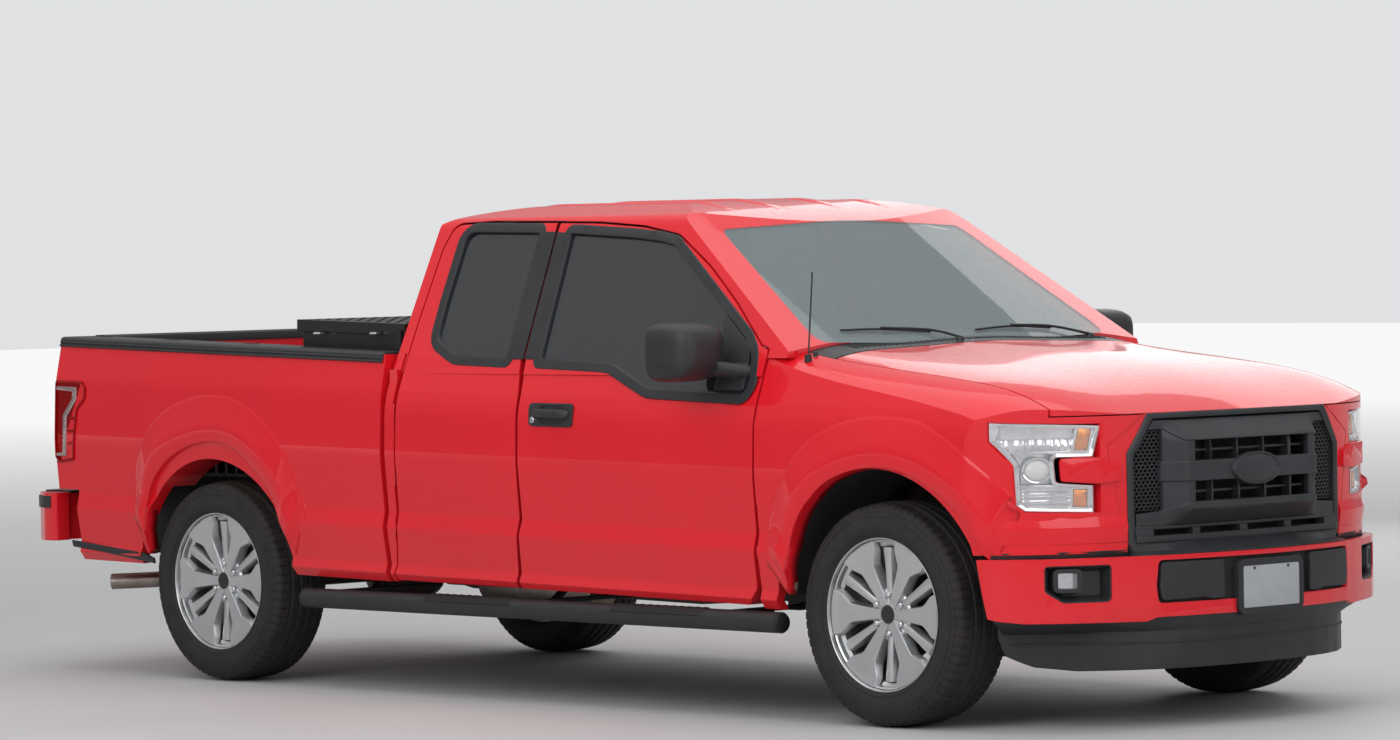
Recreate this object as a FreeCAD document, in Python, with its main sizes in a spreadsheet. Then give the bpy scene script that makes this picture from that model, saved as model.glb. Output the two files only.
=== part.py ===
"""Full-size pickup truck with an extended cab and a 6.5 foot box, modelled as separate pieces in one frame.

X points forward, Y to the truck's left and Z up. The origin is on the ground under the middle of the whole length.
All sizes are in millimetres. Body panels are cut from three masses: the lower body side, the greenhouse and the nose.
"""

import FreeCAD, Part

import math
import os

import Sketcher
from FreeCAD import Placement, Rotation, Vector

doc = FreeCAD.newDocument("pickup_truck")

# Driving dimensions: alias, value in millimetres or degrees, and what it is.
DIMENSIONS = [
    ("wheelbase", 3683, "front axle to rear axle"),
    ("front_overhang", 953, "front axle to the bumper's nose"),
    ("rear_overhang", 1254, "rear axle to the rear bumper's end"),
    ("track", 1717, "middle of one tyre to the middle of the other"),
    ("tyre_radius", 396, "tyre tread, standing"),
    ("tyre_width", 278, "across the sidewalls"),
    ("rim_radius", 268, "outside of the wheel's lip"),
    ("rim_width", 236, "across the wheel's lips"),
    ("spoke_count", 6, "wide spokes in one wheel"),
    ("hub_radius", 84, "wheel's middle disc"),
    ("lug_circle", 135, "wheel stud circle's diameter"),
    ("half_width", 1010, "middle to the widest point of the doors"),
    ("rake", 0.88, "degrees that the body lines drop towards the nose"),
    ("sill_height", 418, "bottom of the doors at mid length"),
    ("crease_height", 688, "lower crease of the doors at mid length"),
    ("belt_height", 1285, "bottom of the side windows"),
    ("belt_half_width", 938, "middle to the body side at the belt"),
    ("lean", 22.8, "degrees that the side windows lean in"),
    ("roof_height", 1868, "top of the roof"),
    ("cab_rear", -625, "back of the cab at the belt"),
    ("door_seam", 130, "seam between the two doors of a side"),
    ("door_front", 1388, "front edge of the front door"),
    ("door_rear", -570, "rear edge of the rear door"),
    ("door_gap", 8, "gap round each door"),
    ("door_thickness", 110, "lower part of a door"),
    ("frame_thickness", 52, "window frame of a door"),
    ("pane", 6, "thickness of a side window"),
    ("hinge_inset", 60, "door edge to its hinge axis"),
    ("hinge_depth", 26, "widest point of the body side to a door's hinge axis"),
    ("pin_radius", 6, "hinge barrels of the doors"),
    ("running_gap", 0.3, "between faces that turn on each other"),
    ("bed_front", -652, "front face of the bed"),
    ("bed_rear", -2700, "rear face of the bed"),
    ("bed_inner", 828, "middle to the bed's inner wall"),
    ("bed_floor_height", 800, "top of the load floor"),
    ("rail_front", 1297, "top of the bed side at its front"),
    ("rail_rear", 1353, "top of the bed side at its rear"),
    ("tailgate_half", 790, "middle to the tailgate's end"),
    ("tailgate_thickness", 62, "tailgate"),
    ("front_arch", 512, "radius of the front wheel opening"),
    ("rear_arch", 486, "radius of the rear wheel opening"),
    ("panel", 36, "thickness of the fenders, hood and roof"),
    ("rail_half", 430, "middle to the middle of a frame rail"),
    ("rail_width", 70, "frame rail"),
    ("rail_depth", 130, "frame rail"),
    ("pillar_face", 862, "middle to the outer face of the door pillars"),
    ("steer_axis", 690, "middle to a steering axis at the axle"),
]
sheet = doc.addObject("Spreadsheet::Sheet", "dimensions")
for row, (alias, value, meaning) in enumerate(DIMENSIONS, 1):
    sheet.set(f"A{row}", meaning)
    sheet.set(f"B{row}", str(value))
    sheet.setAlias(f"B{row}", alias)
doc.recompute()


class Sizes:
    """The sheet's values, read once."""


d = Sizes()
for alias, _, _ in DIMENSIONS:
    setattr(d, alias, float(getattr(sheet, alias)))

nose = (d.front_overhang + d.wheelbase + d.rear_overhang) / 2
tail = -nose
front_axle = nose - d.front_overhang
rear_axle = tail + d.rear_overhang
drop = math.tan(math.radians(d.rake))
tumble = math.tan(math.radians(d.lean))
FAR = 4000
RIGHT, LEFT = -1, 1


# Outlines. A corner is (u, v) or (u, v, radius); place turns (u, v) into a point in space.


def across(x):
    """Outline of (y, z) in the plane at x."""
    return lambda u, v: Vector(x, u, v)


def beside(y):
    """Outline of (x, z) in the plane at y."""
    return lambda u, v: Vector(u, y, v)


def above(z):
    """Outline of (x, y) in the plane at z."""
    return lambda u, v: Vector(u, v, z)


def segments(corners):
    """Lines and three-point arcs of a closed outline whose corners may be rounded."""
    flat = [Vector(c[0], c[1], 0) for c in corners]
    radii = [c[2] if len(c) > 2 else 0 for c in corners]
    ends, arcs = [], []
    for i, here in enumerate(flat):
        before, after = flat[i - 1], flat[(i + 1) % len(flat)]
        into, out = (here - before).normalize(), (after - here).normalize()
        turn = into.getAngle(out)
        if radii[i] == 0 or turn < 1e-4:
            ends.append((here, here))
            arcs.append(None)
            continue
        reach = radii[i] * math.tan(turn / 2)
        first, last = here - into * reach, here + out * reach
        side = (out - into).normalize()
        middle = here + side * (radii[i] / math.cos(turn / 2) - radii[i])
        ends.append((first, last))
        arcs.append((first, middle, last))
    found = []
    for i in range(len(flat)):
        if arcs[i]:
            found.append(arcs[i])
        start, stop = ends[i][1], ends[(i + 1) % len(flat)][0]
        if (stop - start).Length > 1e-6:
            found.append((start, stop))
    return found


def wire(corners, place):
    edges = []
    for piece in segments(corners):
        points = [place(p.x, p.y) for p in piece]
        if len(points) == 2:
            edges.append(Part.makeLine(*points))
        else:
            edges.append(Part.Arc(*points).toShape())
    return Part.Wire(edges)


def prism(corners, place, along):
    return Part.Face(wire(corners, place)).extrude(Vector(*along))


def loft(wires, ruled=True):
    return Part.makeLoft(wires, True, ruled)


def moved(shape, x=0, y=0, z=0):
    copy = shape.copy()
    copy.translate(Vector(x, y, z))
    return copy


def mirrored(shape):
    return shape.mirror(Vector(0, 0, 0), Vector(0, 1, 0))


def box(x, y, z):
    """Box between two x, two y and two z."""
    return Part.makeBox(x[1] - x[0], y[1] - y[0], z[1] - z[0], Vector(x[0], y[0], z[0]))


def rod(start, end, radius):
    start, end = Vector(*start), Vector(*end)
    return Part.makeCylinder(radius, (end - start).Length, start, end - start)


def fuse(shapes):
    whole = shapes[0].multiFuse(list(shapes[1:])) if len(shapes) > 1 else shapes[0]
    return whole.removeSplitter()


def lift(x):
    """Height that the rake adds to a body line at x."""
    return -drop * x


# Document objects.

nodes = []


def node(label, shape):
    """A sub-part whose shape is worked out with Part's own functions."""
    item = doc.addObject("Part::Feature", label)
    item.Label = label
    item.Shape = shape
    nodes.append(item)
    return item


def new_body(label):
    item = doc.addObject("PartDesign::Body", label)
    item.Label = label
    nodes.append(item)
    return item


def plane_of(body, role):
    return next(f for f in body.Origin.OriginFeatures if f.Role == role)


def new_sketch(body, name, role, corners, offset=0.0, closed=True):
    """A sketch of an outline on one of the body's origin planes, moved along that plane's normal."""
    sketch = body.newObject("Sketcher::SketchObject", name)
    sketch.AttachmentSupport = [(plane_of(body, role), "")]
    sketch.MapMode = "FlatFace"
    sketch.AttachmentOffset = Placement(Vector(0, 0, offset), Rotation())
    pieces = segments(corners)
    if not closed:
        pieces = pieces[:-1]
    for piece in pieces:
        if len(piece) == 2:
            sketch.addGeometry(Part.LineSegment(*piece), False)
        else:
            sketch.addGeometry(Part.Arc(*piece), False)
    return sketch


def add_circle(sketch, x, y, radius):
    sketch.addGeometry(Part.Circle(Vector(x, y, 0), Vector(0, 0, 1), radius), False)


def pad(body, sketch, length, symmetric=False, back=False):
    """A pad whose length is an expression on the sheet or a number."""
    feature = body.newObject("PartDesign::Pad", sketch.Name + "_pad")
    feature.Profile = sketch
    if isinstance(length, str):
        feature.setExpression("Length", length)
    else:
        feature.Length = length
    feature.Midplane = symmetric
    feature.Reversed = back
    sketch.Visibility = False
    return feature


def pocket(body, sketch, length, back=False, symmetric=False):
    feature = body.newObject("PartDesign::Pocket", sketch.Name + "_pocket")
    feature.Profile = sketch
    if isinstance(length, str):
        feature.setExpression("Length", length)
    else:
        feature.Length = length
    feature.Reversed = back
    feature.Midplane = symmetric
    return feature


def revolve(body, sketch, axis_role):
    feature = body.newObject("PartDesign::Revolution", sketch.Name + "_turned")
    feature.Profile = sketch
    feature.ReferenceAxis = (plane_of(body, axis_role), [""])
    feature.Angle = 360
    return feature


# Body side below the belt: half outline from the sill to the belt, at mid length, as (y, z, radius).


def side_outline(sign):
    w, s, c, b = d.half_width, d.sill_height, d.crease_height, d.belt_height
    points = [
        (w - 42, s),
        (w - 18, s + 34),
        (w - 28, s + 68),
        (w - 6, c - 62),
        (w - 19, c),
        (w, c + 210, 420),
        (w - 5, b - 200, 300),
        (w - 22, b - 135, 90),
        (d.belt_half_width, b),
    ]
    return [(sign * p[0], *p[1:]) for p in points]


def lower_mass(start, end, top=()):
    """Body below the belt from x start to x end; top holds more (y, z) corners of the right side above the belt."""
    right = side_outline(RIGHT) + [(-y, z, *r) for y, z, *r in top]
    left = [(-p[0], *p[1:]) for p in reversed(right)]
    corners = [(p[0], p[1] + lift(start), *p[2:]) for p in right + left]
    run = end - start
    return prism(corners, across(start), (run, 0, lift(end) - lift(start)))


# Greenhouse: upright outer faces from the horizontal outlines, rounded roof rails from the cross-section.

screen_low = (1451, 766, 1345)
screen_high = (836, 631, 1750)
screen_run = (screen_high[0] - screen_low[0]) / (screen_high[2] - screen_low[2])
screen_bow = 105
back_lean = 0.06


def side_at(z):
    """Half width of the greenhouse at height z."""
    return d.belt_half_width - tumble * (z - d.belt_height)


def screen_at(z):
    """x of the windscreen's edge line at height z."""
    return screen_low[0] + screen_run * (z - screen_low[2])


def back_at(z):
    return d.cab_rear + back_lean * max(z - d.belt_height, 0)


def ring_at(z, inset):
    """Horizontal outline that gives the greenhouse its bowed windscreen and its back; its sides lie further out."""
    half = side_at(z)
    front = screen_at(z) - inset * 1.8
    rear = back_at(z) + inset
    wide = half + 80
    bow = screen_bow * half / d.belt_half_width
    edge = front + bow - bow * (wide / half) ** 2
    arc = Part.Arc(Vector(edge, -wide, z), Vector(front + bow, 0, z), Vector(edge, wide, z)).toShape()
    rest = Part.makePolygon(
        [Vector(edge, wide, z), Vector(rear, wide, z), Vector(rear, -wide, z), Vector(edge, -wide, z)]
    )
    return Part.Wire([arc] + rest.Edges)


def greenhouse_mass(inset=0.0):
    """Solid greenhouse; with an inset it is the cavity that leaves walls of that thickness."""
    foot = d.belt_height - 60
    ends = loft([ring_at(foot, inset), ring_at(d.roof_height + 40, inset)])
    low, rail = side_at(foot) - inset, d.roof_height - 62
    high, crown = side_at(rail) - inset, d.roof_height
    section = prism(
        [
            (-low, foot - inset),
            (-high, rail, 75),
            (-high + 190, crown - 16, 300),
            (0, crown, 4000),
            (high - 190, crown - 16, 300),
            (high, rail, 75),
            (low, foot - inset),
        ],
        across(-FAR / 2),
        (FAR, 0, 0),
    )
    curve = spline(
        [
            (d.cab_rear - 60, -1200, crown - 130),
            (d.cab_rear + 110, -1200, crown - 50),
            (d.cab_rear + 300, -1200, crown - 20),
            (0, -1200, crown + 3),
            (360, -1200, crown + 2),
            (620, -1200, crown - 24),
            (screen_high[0] + 30, -1200, crown - 88),
            (screen_high[0] + 260, -1200, crown - 200),
        ]
    )
    start, stop = curve.Vertexes[0].Point, curve.Vertexes[-1].Point
    rest = Part.makePolygon([stop, Vector(FAR / 2, -1200, foot - 90), Vector(start.x, -1200, foot - 90), start])
    side_view = Part.Face(Part.Wire([curve] + rest.Edges)).extrude(Vector(0, 2400, 0))
    return ends.common(moved(section, z=-inset)).common(moved(side_view, z=-inset))


def spline(points):
    curve = Part.BSplineCurve()
    curve.interpolate([Vector(*p) for p in points])
    return curve.toShape()


# Nose: body side, plan curve and top surface meet in one mass.

PLAN = [(2400, 1012), (2480, 990), (2560, 945), (2635, 870), (2700, 770), (2752, 650), (2788, 500), (2800, 300)]
TOP = [
    (1330, 1348, 1378),
    (1700, 1277, 1322),
    (2000, 1243, 1290),
    (2300, 1210, 1258),
    (2550, 1160, 1206),
    (2700, 1098, 1148),
    (2830, 1030, 1080),
]


def plan_prism(points, middle, back, low, high):
    half = [(x, -y, low) for x, y in points]
    whole = half + [(middle, 0, low)] + [(x, -y, z) for x, y, z in reversed(half)]
    edge = spline(whole)
    (x0, y0, _), (x1, y1, _) = whole[0], whole[-1]
    side = 1100
    rest = Part.makePolygon(
        [
            Vector(x1, y1, low),
            Vector(x1 - 1, side, low),
            Vector(back, side, low),
            Vector(back, -side, low),
            Vector(x0 - 1, -side, low),
            Vector(x0, y0, low),
        ]
    )
    return Part.Face(Part.Wire([edge] + rest.Edges)).extrude(Vector(0, 0, high - low))


def nose_mass():
    rings = []
    for x, edge, middle in TOP:
        half = [(1120, edge - 260), (1000, edge - 105), (930, edge - 40), (830, edge), (500, middle - 14)]
        points = [(x, -y, z) for y, z in half] + [(x, 0, middle)] + [(x, y, z) for y, z in reversed(half)]
        first, last = Vector(*points[0]), Vector(*points[-1])
        low = [Vector(x, 1120, 150), Vector(x, -1120, 150)]
        rings.append(Part.Wire([spline(points)] + Part.makePolygon([last, *low, first]).Edges))
    top = loft(rings, ruled=False)
    sides = lower_mass(d.door_front - 40, nose, top=((905, 1360), (860, 1460)))
    return sides.common(plan_prism(PLAN, 2808, 1200, 100, 1600)).common(top)


cab_low = lower_mass(d.cab_rear, d.door_front + 20)
cab_high = greenhouse_mass()
cavity = greenhouse_mass(45)
front_mass = nose_mass()

# Openings in the side of the cab, as (x, z, radius) outlines.

g = d.door_gap / 2
FRONT_DOOR = [
    (d.door_seam - 48, 420 + g),
    (1343, 400 + g, 30),
    (d.door_front - 8, 470, 60),
    (d.door_front, 700, 400),
    (d.door_front + 8, 1322, 14),
    (1355, 1334, 12),
    (1165, 1487, 600),
    (978, 1616, 600),
    (762, 1735, 160),
    (559, 1769, 400),
    (311, 1786, 800),
    (61, 1791),
    (84, 1280),
    (d.door_seam - 20, 1150),
    (d.door_seam - 20, 700),
]
REAR_DOOR = [
    (d.door_seam - 8, 420 + g),
    (d.door_seam + 20, 700),
    (d.door_seam + 20, 1150),
    (124, 1280),
    (101, 1791),
    (-298, 1797, 800),
    (-505, 1790, 60),
    (-541, 1700, 150),
    (-559, 1415, 900),
    (-566, 970, 900),
    (-572, 600, 300),
    (-604, 428 + g, 12),
]
FRONT_WINDOW = [
    (190, 1279, 8),
    (537, 1268, 500),
    (595, 1262, 90),
    (820, 1176, 160),
    (1318, 1158, 30),
    (1346, 1197, 45),
    (1319, 1305, 120),
    (1269, 1359, 260),
    (752, 1701, 60),
    (664, 1717, 200),
    (518, 1731, 600),
    (212, 1748, 900),
    (160, 1750, 8),
]
REAR_WINDOW = [
    (12, 1281, 8),
    (-282, 1290, 160),
    (-430, 1352, 60),
    (-436, 1500, 900),
    (-432, 1738, 40),
    (-397, 1762, 60),
    (-10, 1755, 8),
]


def side_prism(corners, sign, inner=0.0):
    """Prism of a side outline from y = inner outwards."""
    return prism(corners, beside(sign * inner), (0, sign * 1300, 0))


def inset(corners, by):
    """The outline pulled in by a distance (pushed out when negative), corner radii kept."""
    points = [Vector(c[0], c[1], 0) for c in corners]
    area = sum(a.x * b.y - b.x * a.y for a, b in zip(points, points[1:] + points[:1]))
    side = 1 if area > 0 else -1
    found = []
    for i, here in enumerate(points):
        into = (here - points[i - 1]).normalize()
        out = (points[(i + 1) % len(points)] - here).normalize()
        normal = Vector(-(into.y + out.y), into.x + out.x, 0) * side
        scale = by / (normal.Length / 2) if normal.Length else 0
        shift = normal.normalize() * scale
        found.append((here.x + shift.x, here.y + shift.y, *corners[i][2:]))
    return found


hinge_y = d.half_width - d.hinge_depth
front_hinge = (d.door_front - d.hinge_inset, hinge_y)
rear_hinge = (d.door_rear + d.hinge_inset, hinge_y)
HINGES = ((836, 884), (1010, 1058))


def seam_wedge(sign):
    """Gap between the two doors of a side, wider inside so that each door swings past the other."""
    solids = []
    for low, high, x0, x1 in (
        (380, 700, d.door_seam - 30, d.door_seam),
        (700, 1150, d.door_seam, d.door_seam),
        (1150, d.belt_height, d.door_seam, 104),
        (d.belt_height, 1830, 104, 79),
    ):
        rings = []
        for z, x in ((low, x0), (high, x1)):
            outer = (d.half_width if high <= d.belt_height else side_at(z)) + 12
            reach = max(hinge_y - outer, 0)
            depth = 212
            back_slope = (reach + 110) / 620
            front_slope = (reach + 110) / 1180
            corners = [
                (x - g, sign * outer),
                (x + g, sign * outer),
                (x + g + front_slope * depth, sign * (outer - depth)),
                (x - g - back_slope * depth, sign * (outer - depth)),
            ]
            rings.append(wire(corners, above(z)))
        solids.append(loft(rings))
    return solids


def pin(hinge, sign):
    return hinge[0], sign * hinge[1]


def door(outline, sign, hinge, forward):
    """Door skin, window frame and hinge pockets; forward is 1 where the hinge edge is the front edge."""
    zone = side_prism(inset(outline, g), sign)
    low = zone.common(cab_low.cut(moved(cab_low, y=-sign * d.door_thickness)))
    high = zone.common(cab_high.cut(moved(cab_high, y=-sign * d.frame_thickness)))
    shape = low.fuse(high)
    for wedge in seam_wedge(sign):
        shape = shape.cut(wedge)
    for z0, z1 in HINGES:
        x0, x1 = sorted((hinge[0] - forward * 15, hinge[0] + forward * 90))
        y0, y1 = sorted((sign * (hinge_y + 10), sign * (hinge_y - 200)))
        shape = shape.cut(box((x0, x1), (y0, y1), (z0, z1)))
        shape = shape.cut(rod((*pin(hinge, sign), z0 - 9), (*pin(hinge, sign), z1 + 9), d.pin_radius + 0.3))
    swing = hinge_y - d.pillar_face - d.running_gap
    x0, x1 = sorted((hinge[0], hinge[0] + forward * 90))
    y0, y1 = sorted((sign * 700, sign * hinge_y))
    corner = box((x0, x1), (y0, y1), (300, 1215))
    shape = shape.cut(corner.cut(rod((*pin(hinge, sign), 290), (*pin(hinge, sign), 1225), swing)))
    x0, x1 = sorted((hinge[0] - forward * 60, hinge[0] + forward * 90))
    y0, y1 = sorted((sign * 700, sign * (hinge_y - swing)))
    return shape.cut(box((x0, x1), (y0, y1), (300, 1215)))


def hinge_brackets(hinge, sign, pillar):
    """Barrel and arm of both hinges of a door, from the pillar's face at |y| = pillar."""
    parts = []
    for z0, z1 in HINGES:
        low, high = z0 + d.running_gap, z1 - d.running_gap
        parts.append(rod((*pin(hinge, sign), low), (*pin(hinge, sign), high), 9.5))
        parts.append(rod((*pin(hinge, sign), z0 - 8), (*pin(hinge, sign), z1 + 8), d.pin_radius))
        y0, y1 = sorted((sign * pillar, sign * hinge_y))
        parts.append(box((hinge[0] - 8, hinge[0] + 8), (y0, y1), (low, high)))
    return parts


def glass(corners, sign):
    """Side window pane, a little in from the outer face of its frame."""
    pane = moved(cab_high, y=-sign * 12).cut(moved(cab_high, y=-sign * (12 + d.pane)))
    top, low = d.belt_height - 60, 1120
    y0, y1 = side_at(top) - 12, side_at(low) - 12
    skirt = [(sign * y0, top), (sign * y1, low), (sign * (y1 - d.pane), low), (sign * (y0 - d.pane), top)]
    pane = pane.fuse(prism(skirt, across(200), (1200, 0, 0)))
    return side_prism(corners, sign, 300).common(pane).removeSplitter()


def largest(shape):
    return max(shape.Solids, key=lambda s: s.Volume)


def pair(label, shape):
    """The right piece and its mirror image on the left."""
    node(f"{label}_right", shape)
    node(f"{label}_left", mirrored(shape))


for end, outline, window, hinge, forward in (
    ("front", FRONT_DOOR, FRONT_WINDOW, front_hinge, 1),
    ("rear", REAR_DOOR, REAR_WINDOW, rear_hinge, -1),
):
    pair(f"door_{end}", largest(door(outline, RIGHT, hinge, forward).cut(side_prism(window, RIGHT, 300))))
    pair(f"door_glass_{end}", glass(window, RIGHT))


def cut(shape, *tools):
    for tool in tools:
        shape = shape.cut(tool)
    return shape


# Cab structure: outer side rings, roof, back panel, cowl, floor pan.

SCREEN = [
    (-766, 1342, 30),
    (-631, 1752, 45),
    (0, 1782, 3000),
    (631, 1752, 45),
    (766, 1342, 30),
    (0, 1318, 4000),
]
BACKLIGHT = [(-560, 1370, 60), (-520, 1730, 60), (520, 1730, 60), (560, 1370, 60)]
screen_zone = prism(SCREEN, across(760), (1100, 0, 0))
back_zone = prism(BACKLIGHT, across(-900), (500, 0, 0))
shell = cab_high.cut(cavity)
roof_half = 612
roof_zone = box((-535, 1200), (-roof_half, roof_half), (1640, 2000))
roof = largest(cut(shell.common(roof_zone), screen_zone))
node("roof", roof)
back_block = box((-900, -535), (-roof_half, roof_half), (1200, 2000))
lower_back = box((d.cab_rear, d.cab_rear + 45), (-roof_half, roof_half), (560, 1260))
back_panel = cut(shell.common(back_block), back_zone)
node("cab_back", fuse([largest(back_panel), lower_back]))

fender_rear = d.door_front + 8.2
cowl_front = 1632
floor_top, floor_bottom = 560, 530
right_side = box((-700, 1500), (-1100, -roof_half), (300, 2000))
corner = cab_low.common(box((d.cab_rear, d.door_rear), (-1100, 0), (430, 1240)))
corner = corner.cut(moved(corner, y=36)).common(right_side)
rear_wall = box((d.cab_rear, d.cab_rear + 45), (-975, -roof_half), (560, 1240))
cab_side = shell.common(right_side).fuse(corner).fuse(rear_wall)
for outline in (REAR_DOOR, FRONT_DOOR):
    cab_side = cab_side.cut(side_prism(inset(outline, -g), RIGHT))
cab_side = cut(cab_side, screen_zone, front_mass, box((700, 1700), (-1200, 1200), (300, 1290)))
relief = box((d.door_rear - 12, d.door_rear), (-1000, -925), (300, 1300))
pair("cab_side", largest(cut(cab_side, relief)))

screen = cab_high.cut(greenhouse_mass(6)).common(prism(SCREEN, across(760), (1100, 0, 0))).cut(front_mass)
rear_glass = cab_high.cut(greenhouse_mass(6)).common(prism(BACKLIGHT, across(-900), (500, 0, 0)))
node("windscreen", largest(screen))
node("backlight", largest(rear_glass))

front_skin = front_mass.cut(moved(front_mass, z=-d.panel))
cowl_box = box((d.door_front, cowl_front), (-828, 828), (1200, 1500))
wall_top = front_mass.common(box((1410, 1440), (-760, 760), (1275, 1400)))
cowl = front_skin.common(cowl_box).fuse(wall_top)
firewall = box((1410, 1440), (-700, 700), (floor_top, 1275))
node("cowl", largest(cowl))

floor = [
    box((-620, 1440), (-800, 800), (floor_bottom, floor_top)),
    firewall,
]
for sign in (RIGHT, LEFT):
    floor.append(box((-620, 1410), tuple(sorted((sign * 800, sign * 862))), (450, floor_top)))
    floor.append(box((1280, 1410), tuple(sorted((sign * 800, sign * 862))), (floor_top, 1200)))
    floor.append(box((d.cab_rear + 45, -480), tuple(sorted((sign * 800, sign * 862))), (floor_top, 1200)))
    floor += hinge_brackets(front_hinge, sign, 862)
    floor += hinge_brackets(rear_hinge, sign, 862)
rail_room = [box((1360, 1450), tuple(sorted((s * 388, s * 472))), (500, 552)) for s in (RIGHT, LEFT)]
node("cab_floor", cut(fuse(floor), *rail_room))

# Hood and fenders.

hood_rear = 1642
hood_half = 826
hood_front_cut = box((hood_rear, 3000), (-hood_half, hood_half), (1092, 1500))
hood = largest(front_skin.common(hood_front_cut))
front_lip = front_mass.cut(moved(front_mass, x=-30)).common(box((2600, 3000), (-hood_half, hood_half), (1092, 1500)))
hood = fuse([hood, largest(front_lip)])
hood_axis = (hood_rear + 110, 1295)
ears = []
for y in (-300, 300):
    slot = box((hood_axis[0] - 44, hood_axis[0] + 12), (y - 8.3, y + 8.3), (1200, hood_axis[1] + 9.5))
    hood = cut(hood, slot, rod((hood_axis[0], y - 16, hood_axis[1]), (hood_axis[0], y + 16, hood_axis[1]), 6.3))
    ears.append(box((hood_axis[0] - 8, hood_axis[0] + 8), (y - 8, y + 8), (1160, hood_axis[1])))
    ears.append(rod((hood_axis[0], y - 8, hood_axis[1]), (hood_axis[0], y + 8, hood_axis[1]), 8))
    ears.append(rod((hood_axis[0], y - 15, hood_axis[1]), (hood_axis[0], y + 15, hood_axis[1]), 6))
node("hood", hood)

FRONT_LAMP = [
    (2508, 1074), (2760, 1062), (2760, 948), (2700, 949), (2700, 865), (2760, 853), (2760, 757), (2606, 766),
    (2584, 787), (2579, 925), (2508, 1008),
]
arch_front = rod((front_axle, -1100, d.tyre_radius), (front_axle, 1100, d.tyre_radius), d.front_arch)
bumper_zone = box((2400, 3100), (-1200, 1200), (0, 618))
grille_hex = prism(
    [(-480, 1092), (-640, 986), (-565, 618), (565, 618), (640, 986), (480, 1092)], across(2500), (600, 0, 0)
)
right_half = box((1200, 3100), (-1200, 0), (0, 1600))
lamp_zone = side_prism(FRONT_LAMP, RIGHT, 664)
fender = front_mass.cut(moved(front_mass, y=40)).common(right_half).fuse(front_skin.common(right_half))
strip = front_mass.cut(moved(front_mass, x=-40)).common(box((2500, 3000), (-900, -400), (618, 1092)))
fender = fender.fuse(strip).common(box((fender_rear, 3100), (-1200, 1200), (0, 1600)))
fender = cut(
    fender,
    arch_front,
    bumper_zone,
    box((1200, 3100), (-(hood_half + 6), hood_half + 6), (1088, 1600)),
    box((1200, 2590), (-(hood_half + 6), hood_half + 6), (0, 1600)),
    grille_hex,
    lamp_zone,
    box((fender_rear - 1, fender_rear + 3.5), (-1000, -900), (300, 1400)),
)
pair("fender", largest(fender))
lamp = front_mass.cut(moved(front_mass, x=-90)).common(right_half).common(lamp_zone)
lamp = largest(cut(lamp, grille_hex, hood_front_cut))
node("headlights", Part.makeCompound([lamp, mirrored(lamp)]))

# Grille.

GRILLE_INNER = [(-442, 1052), (-590, 982), (-530, 645), (530, 645), (590, 982), (442, 1052)]
grille_in = prism(GRILLE_INNER, across(2500), (600, 0, 0))
face = front_mass.cut(moved(front_mass, x=-60)).common(grille_hex)
ring = cut(face, grille_in, hood_front_cut)
face_back = moved(front_mass, x=-18).cut(moved(front_mass, x=-60))
bars = [box((2500, 3000), (-460, 460), z).common(face_back) for z in ((1030, 1060), (852, 915), (707, 772))]
uprights = [box((2500, 3000), (s * 405 - 26, s * 405 + 26), (640, 1060)).common(face_back) for s in (RIGHT, LEFT)]
mesh = front_mass.cut(moved(front_mass, x=-12))
mesh = moved(mesh, x=-46).common(prism(inset(GRILLE_INNER, -2), across(2500), (600, 0, 0)))
node("grille", fuse([ring, *bars, *uprights, mesh]))

# Bed.


def bed_outer():
    """Right side of the bed below its rail, raked like the body: outer skin with the inner wall's line."""
    x = d.bed_front
    w, s, c = d.half_width, d.sill_height + lift(x), d.crease_height + lift(x)
    corners = [
        (-(w - 42), s),
        (-(w - 18), s + 34),
        (-(w - 28), s + 68),
        (-(w - 6), c - 62),
        (-(w - 19), c),
        (-w, c + 210, 420),
        (-(w - 10), c + 450, 300),
        (-(w - 40), c + 590, 60),
        (-(w - 62), 1450),
        (-d.bed_inner, 1450),
        (-d.bed_inner, s),
    ]
    return prism(corners, across(x), (bed_end - x, 0, lift(bed_end) - lift(x)))


def rail_zone():
    """Everything below the bed rail's slanted top."""
    corners = [(-1100, 100), (-1100, d.rail_front), (-700, d.rail_front), (-700, 100)]
    return prism(corners, across(d.bed_front), (bed_end - d.bed_front, 0, d.rail_rear - d.rail_front))


bed_end = -2690
hollow = box((-3000, 0), (-(d.half_width - 70), -700), (0, d.bed_floor_height - 36))
bed_side = cut(bed_outer().common(rail_zone()), hollow)
arch_rear = rod((rear_axle, -1100, d.tyre_radius), (rear_axle, -690, d.tyre_radius), d.rear_arch)
TAIL_LAMP = [(-2518, 1184, 20), (-2720, 1186), (-2720, 846), (-2668, 850, 20)]
tail_zone = side_prism(TAIL_LAMP, RIGHT, 845)
bed_side = cut(bed_side, arch_rear)
tail_light = largest(bed_side.common(tail_zone))
bed_side = cut(bed_side, tail_zone, box((-3000, -2560), (-1100, -700), (300, 742)))
pivot = (-2660, 812)
bed_side = bed_side.fuse(rod((pivot[0], -840, pivot[1]), (pivot[0], -770, pivot[1]), 12))
pair("bed_side", largest(bed_side))
node("tail_lights", Part.makeCompound([tail_light, mirrored(tail_light)]))

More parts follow.
